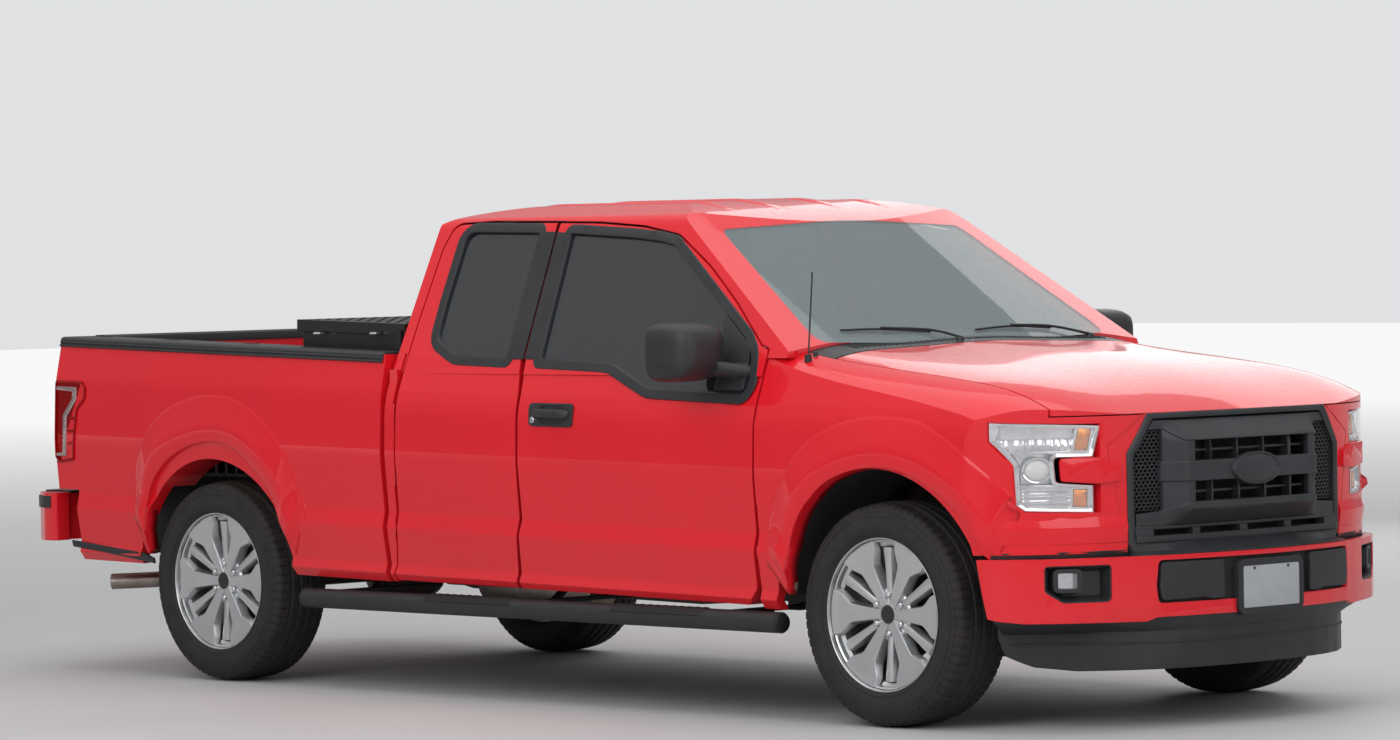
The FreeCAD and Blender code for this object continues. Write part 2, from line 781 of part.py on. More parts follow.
floor = d.bed_floor_height
front_wall = box((d.bed_front - 40, d.bed_front), (-d.bed_inner, d.bed_inner), (floor, d.rail_front - 16))
bed_floor = box((-2606, d.bed_front), (-d.bed_inner, d.bed_inner), (floor - 36, floor))
bed_floor = bed_floor.fuse(front_wall)
for sign in (RIGHT, LEFT):
    near, far = sign * 690, sign * d.bed_inner
    hole = rod((rear_axle, sign * 1100, d.tyre_radius), (rear_axle, near, d.tyre_radius), d.rear_arch)
    tub = rod((rear_axle, far, d.tyre_radius), (rear_axle, sign * 676, d.tyre_radius), d.rear_arch + 14)
    tub = cut(tub, hole, box((-3000, 0), (-1100, 1100), (-200, floor - 36)))
    bed_floor = bed_floor.cut(hole).fuse(tub)
node("bed_floor", bed_floor)

# Tailgate.

gate = new_body("tailgate")
gate_back = -2698
outline = [
    (gate_back + 4, pivot[1] - 24, 10),
    (gate_back + 4, 1200, 300),
    (gate_back - 2, 1330, 60),
    (gate_back + 2, 1354, 12),
    (gate_back + 62, 1354, 12),
    (gate_back + 64, 1300, 30),
    (gate_back + 62, pivot[1] - 24, 10),
]
profile = new_sketch(gate, "gate_profile", "XZ_Plane", outline)
pad(gate, profile, "dimensions.tailgate_half * 2", symmetric=True)
bore = new_sketch(gate, "gate_bore", "XZ_Plane", [])
add_circle(bore, *pivot, 12.3)
pocket(gate, bore, "dimensions.tailgate_half * 2 + 20", symmetric=True)

# Frame: two rails and crossmembers.

frame = new_body("frame")
RAIL = [(2760, 500), (2380, 520), (1620, 520), (1280, 445), (-900, 445), (-1250, 600), (-2080, 600), (-2380, 560)]
half_depth = d.rail_depth / 2
rail_outline = [(x, z + half_depth, 120) for x, z in RAIL]
rail_outline += [(x, z - half_depth, 120) for x, z in reversed(RAIL)]
for i in (0, len(RAIL) - 1, len(RAIL), -1):
    rail_outline[i] = rail_outline[i][:2]
for sign, side in ((RIGHT, "right"), (LEFT, "left")):
    offset = -(sign * d.rail_half + d.rail_width / 2)
    rail = new_sketch(frame, f"rail_{side}", "XZ_Plane", rail_outline, offset)
    pad(frame, rail, "dimensions.rail_width")
CROSSMEMBERS = [
    (2700, 460, 520),
    (1000, 345, 404.7),
    (500, 455, 510),
    (-500, 455, 510),
    (-1150, 520, 580),
    (-2300, 625, 660),
]
for i, (x, z0, z1) in enumerate(CROSSMEMBERS):
    bar = new_sketch(frame, f"crossmember_{i}", "XZ_Plane", [(x - 30, z0), (x + 30, z0), (x + 30, z1), (x - 30, z1)])
    pad(frame, bar, "dimensions.rail_half * 2", symmetric=True)
hoist = new_sketch(frame, "spare_hoist", "XY_Plane", [(-2282, -24), (-2195, -24), (-2195, 24), (-2282, 24)], 560)
pad(frame, hoist, 80)
cab_mounts = [(1250, 1330), (300, 380), (-500, -420)]
bed_mounts = [(-900, -820), (-1600, -1520), (-2300, -2220)]


def rail_mounts(kind, spans, bases, top):
    """Blocks on both rails, from each base height up to the floor that they carry."""
    for i, ((x0, x1), base) in enumerate(zip(spans, bases)):
        for sign, side in ((RIGHT, "right"), (LEFT, "left")):
            y0, y1 = sorted((sign * (d.rail_half - 30), sign * (d.rail_half + 30)))
            outline = [(x0, y0), (x1, y0), (x1, y1), (x0, y1)]
            mount = new_sketch(frame, f"{kind}_mount_{i}_{side}", "XY_Plane", outline, base)
            pad(frame, mount, top - base)


rail_mounts("cab", cab_mounts, (500, 500, 500), floor_bottom)
rail_mounts("bed", bed_mounts, (500, 600, 600), floor - 36)

# Wheels and tyres; the outer face looks along -Y.

wheel_y = d.track / 2
hub_seat = 38
RIM = [
    (-118, 271), (-107, 271), (-104, 254), (-58, 254), (-46, 236), (46, 236), (58, 254), (104, 254), (107, 271),
    (118, 271), (116, 260), (104, 244), (60, 243), (46, 226), (-40, 226), (-70, 238), (-106, 246), (-116, 258),
]
TYRE = [
    (-104, 254), (-107, 272), (-124, 282), (-139, 318), (-137, 352), (-122, 382), (-96, 394), (-50, 396), (50, 396),
    (96, 394), (122, 382), (137, 352), (139, 318), (124, 282), (107, 272), (104, 254), (88, 254), (96, 280),
    (122, 320), (116, 362), (88, 380), (-88, 380), (-116, 362), (-122, 320), (-96, 280), (-88, 254),
]
HUB = [(-86, 0), (-86, 28), (-78, 44), (-74, 84), (-hub_seat, 84), (-hub_seat, 36.3), (-62, 36.3), (-62, 0)]
WIDE_SPOKE = [(-30, 66), (30, 66), (52, 248), (-52, 248)]
FINGER = [(-9, 66), (9, 66), (14, 248), (-14, 248)]
seats = {
    "front_right": (front_axle, -wheel_y, 0),
    "front_left": (front_axle, wheel_y, 180),
    "rear_right": (rear_axle, -wheel_y, 0),
    "rear_left": (rear_axle, wheel_y, 180),
}


def ring(body, name, profile):
    sketch = new_sketch(body, name, "YZ_Plane", profile)
    return revolve(body, sketch, "Y_Axis")


def polar(body, feature, count):
    pattern = body.newObject("PartDesign::PolarPattern", feature.Name + "_around")
    pattern.Originals = [feature]
    pattern.Axis = (plane_of(body, "Y_Axis"), [""])
    pattern.Angle = 360
    pattern.Occurrences = count
    body.Tip = pattern
    return pattern


for place, (x, y, turn) in seats.items():
    where = Placement(Vector(x, y, d.tyre_radius), Rotation(Vector(0, 0, 1), turn))
    wheel = new_body(f"wheel_{place}")
    ring(wheel, f"rim_{place}", RIM)
    ring(wheel, f"hub_{place}", HUB)
    wide = pad(wheel, new_sketch(wheel, f"spoke_{place}", "XZ_Plane", WIDE_SPOKE, 50), 30)
    polar(wheel, wide, int(d.spoke_count))
    narrow = new_sketch(wheel, f"finger_{place}", "XZ_Plane", FINGER, 52)
    narrow.AttachmentOffset = Placement(Vector(0, 0, 52), Rotation(Vector(0, 0, 1), 180 / d.spoke_count))
    polar(wheel, pad(wheel, narrow, 22), int(d.spoke_count))
    wheel.Placement = where
    tyre = new_body(f"tyre_{place}")
    ring(tyre, f"carcass_{place}", TYRE)
    tyre.Placement = where
doc.recompute()

# Steering knuckles: hub, brake disc and upright between the two ball joints.

ball_low, ball_high = 238, 560
for side, sign in (("right", RIGHT), ("left", LEFT)):
    knuckle = new_body(f"knuckle_{side}")
    spindle = [(-hub_seat - 24, 0), (-hub_seat - 24, 36), (-hub_seat + 0.3, 36), (-hub_seat + 0.3, 70), (-20, 70),
               (-20, 165), (4, 165), (4, 70), (60, 60), (140, 48), (140, 0)]
    ring(knuckle, f"spindle_{side}", spindle)
    low, high = ball_low - d.tyre_radius, ball_high - d.tyre_radius
    axis = wheel_y - d.steer_axis
    upright = new_sketch(knuckle, f"upright_{side}", "YZ_Plane", [
        (axis - 22, low + 12.3, 8), (axis + 24, low + 12.3, 12), (axis + 24, low + 40, 10), (axis - 6, low + 80, 30),
        (axis - 6, high - 60, 30), (axis + 24, high - 36, 10), (axis + 24, high - 8.3, 12), (axis - 22, high - 8.3, 8),
        (axis - 42, high - 60, 12), (axis - 42, low + 60, 12)])
    pad(knuckle, upright, 56, symmetric=True)
    for name, z0, z1 in (("low", low - 12, low + 20), ("high", high - 20, high + 8)):
        stud = new_sketch(knuckle, f"stud_{name}_{side}", "XY_Plane", [], z0)
        add_circle(stud, 0, axis, 12)
        pad(knuckle, stud, z1 - z0)
    outward = Rotation(Vector(0, 0, 1), 0 if sign < 0 else 180)
    knuckle.Placement = Placement(Vector(front_axle, sign * wheel_y, d.tyre_radius), outward)

# Front suspension arms and the crossmember that carries them.

arms = new_body("front_suspension")
CRADLE = [
    (-465, 226), (465, 226), (465, 455), (395, 455), (380, 300, 30), (-380, 300, 30), (-395, 455), (-465, 455),
]
cross = new_sketch(arms, "engine_cradle", "YZ_Plane", CRADLE, front_axle - 110)
pad(arms, cross, 220)
for sign, side in ((RIGHT, "right"), (LEFT, "left")):
    axis = sign * d.steer_axis
    for name, z, thick, spread in (("lower", ball_low - 12, 24, 150), ("upper", ball_high - 8, 16, 90)):
        root = sign * (460 if name == "lower" else 465)
        outline = [
            (front_axle - spread, root),
            (front_axle - spread, root + sign * 30),
            (front_axle - 27, axis, 20),
            (front_axle - 18, axis + sign * 24, 16),
            (front_axle + 18, axis + sign * 24, 16),
            (front_axle + 27, axis, 20),
            (front_axle + spread, root + sign * 30),
            (front_axle + spread, root),
        ]
        arm = new_sketch(arms, f"{name}_arm_{side}", "XY_Plane", outline, z)
        add_circle(arm, front_axle, axis, 12.3)
        pad(arms, arm, thick)
    strut = new_sketch(arms, f"strut_{side}", "XY_Plane", [], ball_low + 11)
    add_circle(strut, front_axle, sign * 570, 44)
    pad(arms, strut, 470)
    tower_outline = [
        (front_axle - 90, 440),
        (front_axle + 90, 440),
        (front_axle + 60, 730),
        (front_axle - 60, 730),
    ]
    tower_start = -sign * 465 - (25 if sign > 0 else 0)
    tower = new_sketch(arms, f"tower_{side}", "XZ_Plane", tower_outline, tower_start)
    pad(arms, tower, 25)
    cap_outline = [
        (front_axle - 60, sign * 465),
        (front_axle + 60, sign * 465),
        (front_axle + 60, sign * 620),
        (front_axle - 60, sign * 620),
    ]
    cap = new_sketch(arms, f"strut_cap_{side}", "XY_Plane", cap_outline, 716)
    pad(arms, cap, 14)
doc.recompute()

# Rear axle with leaf springs.

axle = new_body("rear_axle_assembly")
axle_end = wheel_y + hub_seat + 24
half_axle = [
    (axle_end, 36),
    (wheel_y + hub_seat - 0.3, 36),
    (wheel_y + hub_seat - 0.3, 80),
    (wheel_y + 10, 80),
    (wheel_y + 10, 160),
    (wheel_y - 60, 160),
    (wheel_y - 60, 46),
    (170, 46),
    (120, 120),
    (50, 150),
]
profile = half_axle + [(-y, r) for y, r in reversed(half_axle)] + [(-axle_end, 0), (axle_end, 0)]
ring(axle, "axle_case", profile)
spring_y = d.rail_half + d.rail_width / 2 + 37
leaf = [
    (640, 118), (660, 132), (320, 76, 300), (0, 62, 500), (-320, 80, 300),
    (-640, 132), (-625, 118), (-320, 52, 300), (0, 38, 500), (320, 48, 300),
]
for sign, side in ((RIGHT, "right"), (LEFT, "left")):
    spring = new_sketch(axle, f"leaf_{side}", "XZ_Plane", leaf, -(sign * spring_y + 32))
    pad(axle, spring, 64)
    y0, y1 = sorted((sign * (d.rail_half + d.rail_width / 2), sign * (spring_y + 32)))
    for end, x in (("front", 650), ("rear", -630)):
        outline = [(x - 26, y0), (x + 26, y0), (x + 26, y1), (x - 26, y1)]
        pad(axle, new_sketch(axle, f"hanger_{end}_{side}", "XY_Plane", outline, 100), 62)
axle.Placement = Placement(Vector(rear_axle, 0, d.tyre_radius), Rotation())
doc.recompute()


def block(label, outlines):
    """Body of pads on the XY plane, each an outline with its bottom and top."""
    body = new_body(label)
    for i, (outline, low, high) in enumerate(outlines):
        sketch = new_sketch(body, f"{label}_{i}", "XY_Plane", outline, low)
        pad(body, sketch, high - low)
    return body


def rectangle(x, y, radius=0):
    return [(x[0], y[0], radius), (x[1], y[0], radius), (x[1], y[1], radius), (x[0], y[1], radius)]


block("engine", [
    (rectangle((1560, 2260), (-300, 300), 40), 470, 1060),
    (rectangle((1640, 2180), (-200, 200), 60), 1040, 1130),
    (rectangle((1600, 2000), (-160, 160), 40), 300.0, 480),
    (rectangle((760, 1570), (-130, 130), 60), 405, 528),
])
block("fuel_tank", [(rectangle((-440, 440), (90, 394.7), 60), 345, 528)])
block("radiator", [(rectangle((2470, 2540), (-390, 390), 10), 480, 1040)])
spare = new_body("spare_wheel")
SPARE = [
    (0, 10), (150, 10), (190, 60, 20), (250, -90), (280, -100, 20), (350, -90, 40),
    (362, 0, 60), (350, 90, 40), (280, 100, 20), (230, 60), (60, 40), (0, 40),
]
spare_sketch = new_sketch(spare, "spare_section", "YZ_Plane", SPARE)
revolve(spare, spare_sketch, "Z_Axis")
spare.Placement = Placement(Vector(-2230, 0, 520), Rotation())

# Exhaust.


def jointed_pipe(points, radius):
    """Round pipe of straight runs with a ball at each bend."""
    runs = [rod(start, end, radius) for start, end in zip(points, points[1:])]
    bends = [Part.makeSphere(radius, Vector(*point)) for point in points[1:-1]]
    return runs[0].multiFuse(runs[1:] + bends)


EXHAUST_RUN = [
    (900, -215, 400),
    (300, -225, 362),
    (-1000, -230, 380),
    (-1350, -320, 470),
    (-1690, -346, 500),
    (-2000, -346, 470),
    (-2190, -440, 392),
    (-2450, -690, 362),
    (-2600, -800, 355),
]
muffler = rod((-250, -230, 362), (-900, -230, 376), 72)
hangers = [rod((x, -228, 362), (x, -228, 455), 6) for x in (500, -500)]
node("exhaust", fuse([jointed_pipe(EXHAUST_RUN, 32), muffler, *hangers]))

# Bumpers.

FRONT_BUMPER = [(2490, 1003), (2600, 950), (2700, 850), (2790, 680), (2862, 503), (2924, 200)]


def curved_bar(label, outer, middle, inner, inner_middle, low, high):
    body = new_body(label)
    sketch = new_sketch(body, f"{label}_plan", "XY_Plane", [], low)
    ends = []
    for points, peak in ((outer, middle), (inner, inner_middle)):
        whole = [Vector(x, -y, 0) for x, y in points] + [Vector(peak, 0, 0)]
        whole += [Vector(x, y, 0) for x, y in reversed(points)]
        curve = Part.BSplineCurve()
        curve.interpolate(whole)
        sketch.addGeometry(curve, False)
        ends.append((whole[0], whole[-1]))
    sketch.addGeometry(Part.LineSegment(ends[0][0], ends[1][0]), False)
    sketch.addGeometry(Part.LineSegment(ends[0][1], ends[1][1]), False)
    pad(body, sketch, high - low)
    return body


def pulled(points, by, back):
    return [(x - back, y - by) for x, y in points]


bumper_back = [(2480, 960), (2585, 905), (2675, 810), (2750, 650), (2815, 480), (2872, 200)]
bumper = curved_bar("front_bumper", FRONT_BUMPER, nose - 2, bumper_back, 2890, 400, 604)
for sign, side in ((RIGHT, "right"), (LEFT, "left")):
    outline = rectangle((2760, 2850), sorted((sign * 395, sign * 465)))
    pad(bumper, new_sketch(bumper, f"bumper_bracket_{side}", "XY_Plane", outline, 450), 90)
for sign, side in ((RIGHT, "right"), (LEFT, "left")):
    recess = [(sign * 668, 452, 25), (sign * 882, 462, 35), (sign * 872, 566, 35), (sign * 668, 580, 25)]
    fog = new_sketch(bumper, f"fog_recess_{side}", "YZ_Plane", recess, 2550)
    pocket(bumper, fog, 400, back=True)
dam = pulled(FRONT_BUMPER, 30, 22)
curved_bar("air_dam", dam, nose - 26, pulled(dam, 36, 24), nose - 52, 190, 400)
REAR_BUMPER = [
    (-2712, -1003, 20), (-2780, -1003, 60), (-2900, -940, 80), (-2945, -420, 900), (-2945, 420, 900),
    (-2900, 940, 80), (-2780, 1003, 60), (-2712, 1003, 20), (-2712, 930), (-2745, 900), (-2745, -900),
    (-2712, -930),
]
block("rear_bumper", [
    (REAR_BUMPER, 530, 725),
    (rectangle((-2750, -2380), (-460, -400)), 530, 620),
    (rectangle((-2750, -2380), (400, 460)), 530, 620),
])
doc.recompute()

# Toolbox across the bed.

rail_slope = (d.rail_rear - d.rail_front) / (d.bed_front - bed_end)
toolbox_seat = Vector(-712, 0, d.rail_front + rail_slope * (712 + d.bed_front) + 0.3)
toolbox_at = Placement(toolbox_seat, Rotation(Vector(0, 1, 0), math.degrees(math.atan(rail_slope))))
toolbox = new_body("toolbox")
outer = new_sketch(toolbox, "toolbox_tub", "XY_Plane", rectangle((-630, -20), (-812, 812), 12), -290)
pad(toolbox, outer, 358)
flange = new_sketch(toolbox, "toolbox_flange", "XY_Plane", rectangle((-640, -12), (-884, 884), 8), 0)
pad(toolbox, flange, 6)
inside = new_sketch(toolbox, "toolbox_inside", "XY_Plane", rectangle((-622, -28), (-804, 804), 8), -282)
pocket(toolbox, inside, 400, back=True)
lid_axis = (-9, 78)
for sign, side in ((RIGHT, "right"), (LEFT, "left")):
    y0, y1 = sorted((sign * 831, sign * 843))
    ear = new_sketch(toolbox, f"hinge_ear_{side}", "XY_Plane", [(-34, y0), (-1, y0), (-1, y1), (-34, y1)], 3)
    pad(toolbox, ear, 84)
    stud = new_sketch(toolbox, f"hinge_pin_{side}", "XZ_Plane", [], -max(sign * 800, sign * 840))
    add_circle(stud, *lid_axis, 3)
    pad(toolbox, stud, 40)
toolbox.Placement = toolbox_at
lid = new_body("toolbox_lid")
lid_sketch = new_sketch(lid, "lid_top", "XY_Plane", rectangle((-650, 0), (-826, 826), 10), 68.3)
pad(lid, lid_sketch, 44)
bore = new_sketch(lid, "hinge_bore", "XZ_Plane", [])
add_circle(bore, *lid_axis, 3.3)
pocket(lid, bore, 1800, symmetric=True)
lid.Placement = toolbox_at

# Step bars.

bar = new_body("step_bars")
for side, sign in (("right", RIGHT), ("left", LEFT)):
    tube_sketch = new_sketch(bar, f"step_tube_{side}", "YZ_Plane", [], -1146)
    add_circle(tube_sketch, sign * 975, 350, 38)
    pad(bar, tube_sketch, 2635)
    for i, x in enumerate((-950, 200, 1230)):
        y0, y1 = sorted((sign * 465, sign * 960))
        outline = [(x - 25, y0), (x + 25, y0), (x + 25, y1), (x - 25, y1)]
        bracket = new_sketch(bar, f"step_bracket_{i}_{side}", "XY_Plane", outline, 372)
        pad(bar, bracket, 14)

# Mirrors.

HEAD = [(985, -990, 20), (1090, -1000, 40), (1100, -1160, 50), (1020, -1229, 25), (985, -1225, 10)]
head = prism(HEAD, above(1234), (0, 0, 144))
arm_plan = [(1035, -1012), (1090, -1014), (1368, -955), (1368, -900), (1326, -900), (1220, -925)]
mirror_arm = prism(arm_plan, above(1240), (0, 0, 46))
inboard = prism([(0, 1200), (-side_at(1200), 1200), (-side_at(1400), 1400), (0, 1400)], across(900), (500, 0, 0))
pair("mirror", largest(head.fuse(mirror_arm).cut(inboard)))

# Cabin.

block("front_seats", [
    (rectangle((250, 780), (-700, -60), 60), 640, 800),
    (rectangle((250, 780), (60, 700), 60), 640, 800),
    (rectangle((300, 700), (-640, -120)), 560, 650),
    (rectangle((300, 700), (120, 640)), 560, 650),
    (rectangle((110, 270), (-690, -70), 60), 700, 1330),
    (rectangle((110, 270), (70, 690), 60), 700, 1330),
])
block("rear_seat", [
    (rectangle((-520, -60), (-700, 700), 40), 640, 780),
    (rectangle((-480, -120), (-660, 660)), 560, 650),
    (rectangle((-575, -455), (-700, 700), 40), 700, 1230),
])
block("dashboard", [
    (rectangle((1200, 1410), (-795, 795), 20), 930, 1240),
    (rectangle((1120, 1260), (-795, 795), 50), 980, 1180),
])
column_tilt = 24
steering = new_body("steering_wheel")
ring_sketch = new_sketch(steering, "steering_rim", "XZ_Plane", [])
add_circle(ring_sketch, 186, 0, 14)
revolve(steering, ring_sketch, "Z_Axis")
hub_sketch = new_sketch(steering, "steering_hub", "XY_Plane", [], -20)
add_circle(hub_sketch, 0, 0, 62)
pad(steering, hub_sketch, 36)
for i, angle in enumerate((0, 120, 240)):
    spoke = new_sketch(steering, f"steering_spoke_{i}", "XY_Plane", [(40, -16), (184, -14), (184, 14), (40, 16)], -9)
    spoke.AttachmentOffset = Placement(Vector(0, 0, -9), Rotation(Vector(0, 0, 1), angle))
    pad(steering, spoke, 16)
steering.Placement = Placement(Vector(985, 380, 1115), Rotation(Vector(0, 1, 0), -90 + column_tilt))
tilt = math.radians(column_tilt)
toward = Vector(math.cos(tilt), 0, -math.sin(tilt))
top = steering.Placement.Base + toward * 20.3
column = rod(tuple(top), tuple(top + toward * 150), 30)
node("steering_column", column.cut(box((1120, 1300), (0, 800), (900, 1240))))

# Antenna.


def height_of(shape, x, y):
    """Top of a shape at x, y."""
    needle = box((x - 0.5, x + 0.5), (y - 0.5, y + 0.5), (0, 3000))
    found = shape.common(needle)
    return max(v.Z for v in found.Vertexes)


mast = (1560, -890)
mast_foot = height_of(fender, *mast)
antenna = rod((*mast, mast_foot), (mast[0] - 12, mast[1] + 40, 1594), 3)
antenna = antenna.fuse(rod((*mast, mast_foot - 6), (*mast, mast_foot + 24), 13))
node("antenna", antenna.cut(fender))

# Front structure: aprons, radiator support.

structure = [
    box((2540, 2560), (-810, 810), (1015, 1040)),
    box((2540, 2560), (-500, 500), (560, 620)),
    box((hood_axis[0] - 12, hood_axis[0] + 12), (-462, 462), (1140, 1170)),
    *ears,
]
for sign in (RIGHT, LEFT):
    structure.append(box((1440, 2560), tuple(sorted((sign * 440, sign * 462))), (585, 1040)))
    structure.append(box((1440, 2560), tuple(sorted((sign * 440, sign * 800))), (1020, 1040)))
    post = tuple(sorted((sign * 440, sign * 462)))
    structure.append(box((hood_axis[0] - 12, hood_axis[0] + 12), post, (1030, 1170)))
node("front_structure", fuse(structure).cut(frame.Shape))

doc.recompute()
for item in doc.Objects:
    if {"Invalid", "Error"} & set(item.State):
        raise RuntimeError(f"{item.Name}: {item.State}")
for item in nodes:
    shape = item.Shape
    bad = shape.isNull() or not shape.isValid()
    if bad:
        raise RuntimeError(f"{item.Label}: the shape is not sound")
os.makedirs("parts", exist_ok=True)
for item in nodes:
    item.Shape.exportStep(f"parts/{item.Label}.step")
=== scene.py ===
"""Extended-cab pickup truck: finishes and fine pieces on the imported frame, with a plain studio round it.

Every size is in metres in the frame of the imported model: X forward, Y to the truck's left, Z up.
"""

import math

import bmesh
import bpy
from mathutils import Matrix, Vector
from mathutils.bvhtree import BVHTree


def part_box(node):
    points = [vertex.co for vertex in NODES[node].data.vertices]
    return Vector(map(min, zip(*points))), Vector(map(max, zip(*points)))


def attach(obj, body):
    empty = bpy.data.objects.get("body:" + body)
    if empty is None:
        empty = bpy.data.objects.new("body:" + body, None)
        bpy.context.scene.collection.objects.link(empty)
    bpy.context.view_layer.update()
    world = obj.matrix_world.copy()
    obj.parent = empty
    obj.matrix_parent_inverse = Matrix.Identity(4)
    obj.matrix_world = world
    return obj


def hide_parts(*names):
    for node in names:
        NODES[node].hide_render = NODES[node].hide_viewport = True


bl_info = {
    "name": "Pickup truck dresser",
    "version": (1, 0, 0),
    "blender": (4, 5, 0),
    "location": "View3D > Sidebar > Truck",
    "description": "Finishes, lamps, wheels, trim and cabin of an extended-cab pickup truck",
    "category": "Object",
}

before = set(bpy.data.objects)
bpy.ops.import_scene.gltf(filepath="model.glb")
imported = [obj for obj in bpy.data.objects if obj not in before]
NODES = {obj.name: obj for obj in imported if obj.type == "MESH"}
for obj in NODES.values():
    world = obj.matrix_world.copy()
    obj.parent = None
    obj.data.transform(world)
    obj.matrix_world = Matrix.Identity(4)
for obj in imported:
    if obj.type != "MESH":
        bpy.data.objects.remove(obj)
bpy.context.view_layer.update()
SIDES = (("right", -1), ("left", 1))
WHEELS = (
    ("front", "right", -1),
    ("front", "left", 1),
    ("rear", "right", -1),
    ("rear", "left", 1),
)


class TruckSizes(bpy.types.PropertyGroup):
    """Sizes of the fine pieces that the solids don't hold."""

    tread_depth: bpy.props.FloatProperty(
        name="Tread depth",
        description="Depth of the tyres' grooves",
        default=0.007,
        min=0.002,
        max=0.012,
        unit="LENGTH",
    )
    seal_width: bpy.props.FloatProperty(
        name="Seal width",
        description="Width of the rubber round the side windows",
        default=0.014,
        min=0.005,
        max=0.03,
        unit="LENGTH",
    )
    edge_radius: bpy.props.FloatProperty(
        name="Panel edge radius",
        description="Rounding that the paint shows along the panels' edges",
        default=0.004,
        min=0.0005,
        max=0.01,
        unit="LENGTH",
    )
    plate_pitch: bpy.props.FloatProperty(
        name="Tread plate pitch",
        description="Distance between the raised bars of the toolbox's tread plate",
        default=0.03,
        min=0.01,
        max=0.06,
        unit="LENGTH",
    )
    mesh_pitch: bpy.props.FloatProperty(
        name="Grille mesh pitch",
        description="Distance between the holes of the grille's side meshes",
        default=0.021,
        min=0.01,
        max=0.05,
        unit="LENGTH",
    )


class TruckColours(bpy.types.PropertyGroup):
    """Colours that a user would change."""

    paint: bpy.props.FloatVectorProperty(
        name="Paint",
        description="Body colour under the clear coat",
        subtype="COLOR",
        size=3,
        min=0,
        max=1,
        default=(0.76, 0.01, 0.02),
    )
    trim: bpy.props.FloatVectorProperty(
        name="Trim",
        description="Grained plastic of the grille, mirrors and handles",
        subtype="COLOR",
        size=3,
        min=0,
        max=1,
        default=(0.022, 0.023, 0.026),
    )
    wheel: bpy.props.FloatVectorProperty(
        name="Wheel",
        description="Machined alloy of the wheels",
        subtype="COLOR",
        size=3,
        min=0,
        max=1,
        default=(0.62, 0.63, 0.64),
    )
    cloth: bpy.props.FloatVectorProperty(
        name="Seat cloth",
        description="Woven cloth of the seats",
        subtype="COLOR",
        size=3,
        min=0,
        max=1,
        default=(0.09, 0.09, 0.095),
    )


def sizes():
    """The sizes that the panel shows."""
    return bpy.context.scene.truck_sizes


def colours():
    """The colours that the panel shows."""
    return bpy.context.scene.truck_colours


# Finishes. Constant values go straight on the shader; what varies comes from object coordinates in metres.


class Finish:
    """A material under construction: nodes are added and wired by name."""

    def __init__(self, name):
        self.material = bpy.data.materials.new(name)
        self.material.use_nodes = True
        self.tree = self.material.node_tree
        self.tree.nodes.clear()
        self.output = self.add("ShaderNodeOutputMaterial")
        self.shader = self.add("ShaderNodeBsdfPrincipled")
        self.join(self.shader, "BSDF", self.output, "Surface")
        self.place = self.add("ShaderNodeTexCoord")

    def add(self, kind, **values):
        """A node of this kind with its settings."""
        made = self.tree.nodes.new(kind)
        for key, value in values.items():
            setattr(made, key, value)
        return made

    def join(self, source, output, target, entry):
        """A wire from one node's output to another's input."""
        self.tree.links.new(source.outputs[output], target.inputs[entry])

    def set(self, **values):
        """Constant values on the shader's sockets."""
        for key, value in values.items():
            self.shader.inputs[key.replace("_", " ")].default_value = value
        return self

    def noise(self, scale, detail=3.0, rough=0.5, stretch=(1, 1, 1)):
        """Cloudy pattern in object coordinates."""
        mapping = self.add("ShaderNodeMapping")
        mapping.inputs["Scale"].default_value = stretch
        self.join(self.place, "Object", mapping, "Vector")
        made = self.add("ShaderNodeTexNoise")
        made.inputs["Scale"].default_value = scale
        made.inputs["Detail"].default_value = detail
        made.inputs["Roughness"].default_value = rough
        self.join(mapping, "Vector", made, "Vector")
        return made

    def spread(self, source, output, low, high, start=0.3, stop=0.7):
        """The source's value carried over to the span from low to high."""
        made = self.add("ShaderNodeMapRange")
        made.inputs["From Min"].default_value = start
        made.inputs["From Max"].default_value = stop
        made.inputs["To Min"].default_value = low
        made.inputs["To Max"].default_value = high
        self.join(source, output, made, "Value")
        return made

    def blend(self, factor, output, first, second):
        """Two colours mixed by the factor."""
        made = self.add("ShaderNodeMix", data_type="RGBA")
        self.join(factor, output, made, "Factor")
        colour_input(made, "A").default_value = (*first, 1)
        colour_input(made, "B").default_value = (*second, 1)
        return made

    def colour(self, made, output="Result"):
        """The node's colour as the base colour."""
        self.tree.links.new(mix_output(made, output), self.shader.inputs["Base Color"])

    def relief(self, source, output, depth, strength=1.0, radius=0.0):
        """Bump of the given depth, on edges rounded by the given radius."""
        bump = self.add("ShaderNodeBump")
        bump.inputs["Distance"].default_value = depth
        bump.inputs["Strength"].default_value = strength
        self.join(source, output, bump, "Height")
        if radius:
            edge = self.add("ShaderNodeBevel", samples=4)
            edge.inputs["Radius"].default_value = radius
            self.join(edge, "Normal", bump, "Normal")
        self.join(bump, "Normal", self.shader, "Normal")
        return bump


def colour_input(made, name):
    """The colour socket of this name on a mix node."""
    return next(i for i in made.inputs if i.name == name and i.type == "RGBA")


def mix_output(made, name):
    """The colour output of a mix node, or the named output of any other."""
    if made.bl_idname == "ShaderNodeMix":
        return next(o for o in made.outputs if o.type == "RGBA")
    return made.outputs[name]


def shade(colour, factor):
    """The colour made darker or lighter."""
    return tuple(min(c * factor, 1) for c in colour)


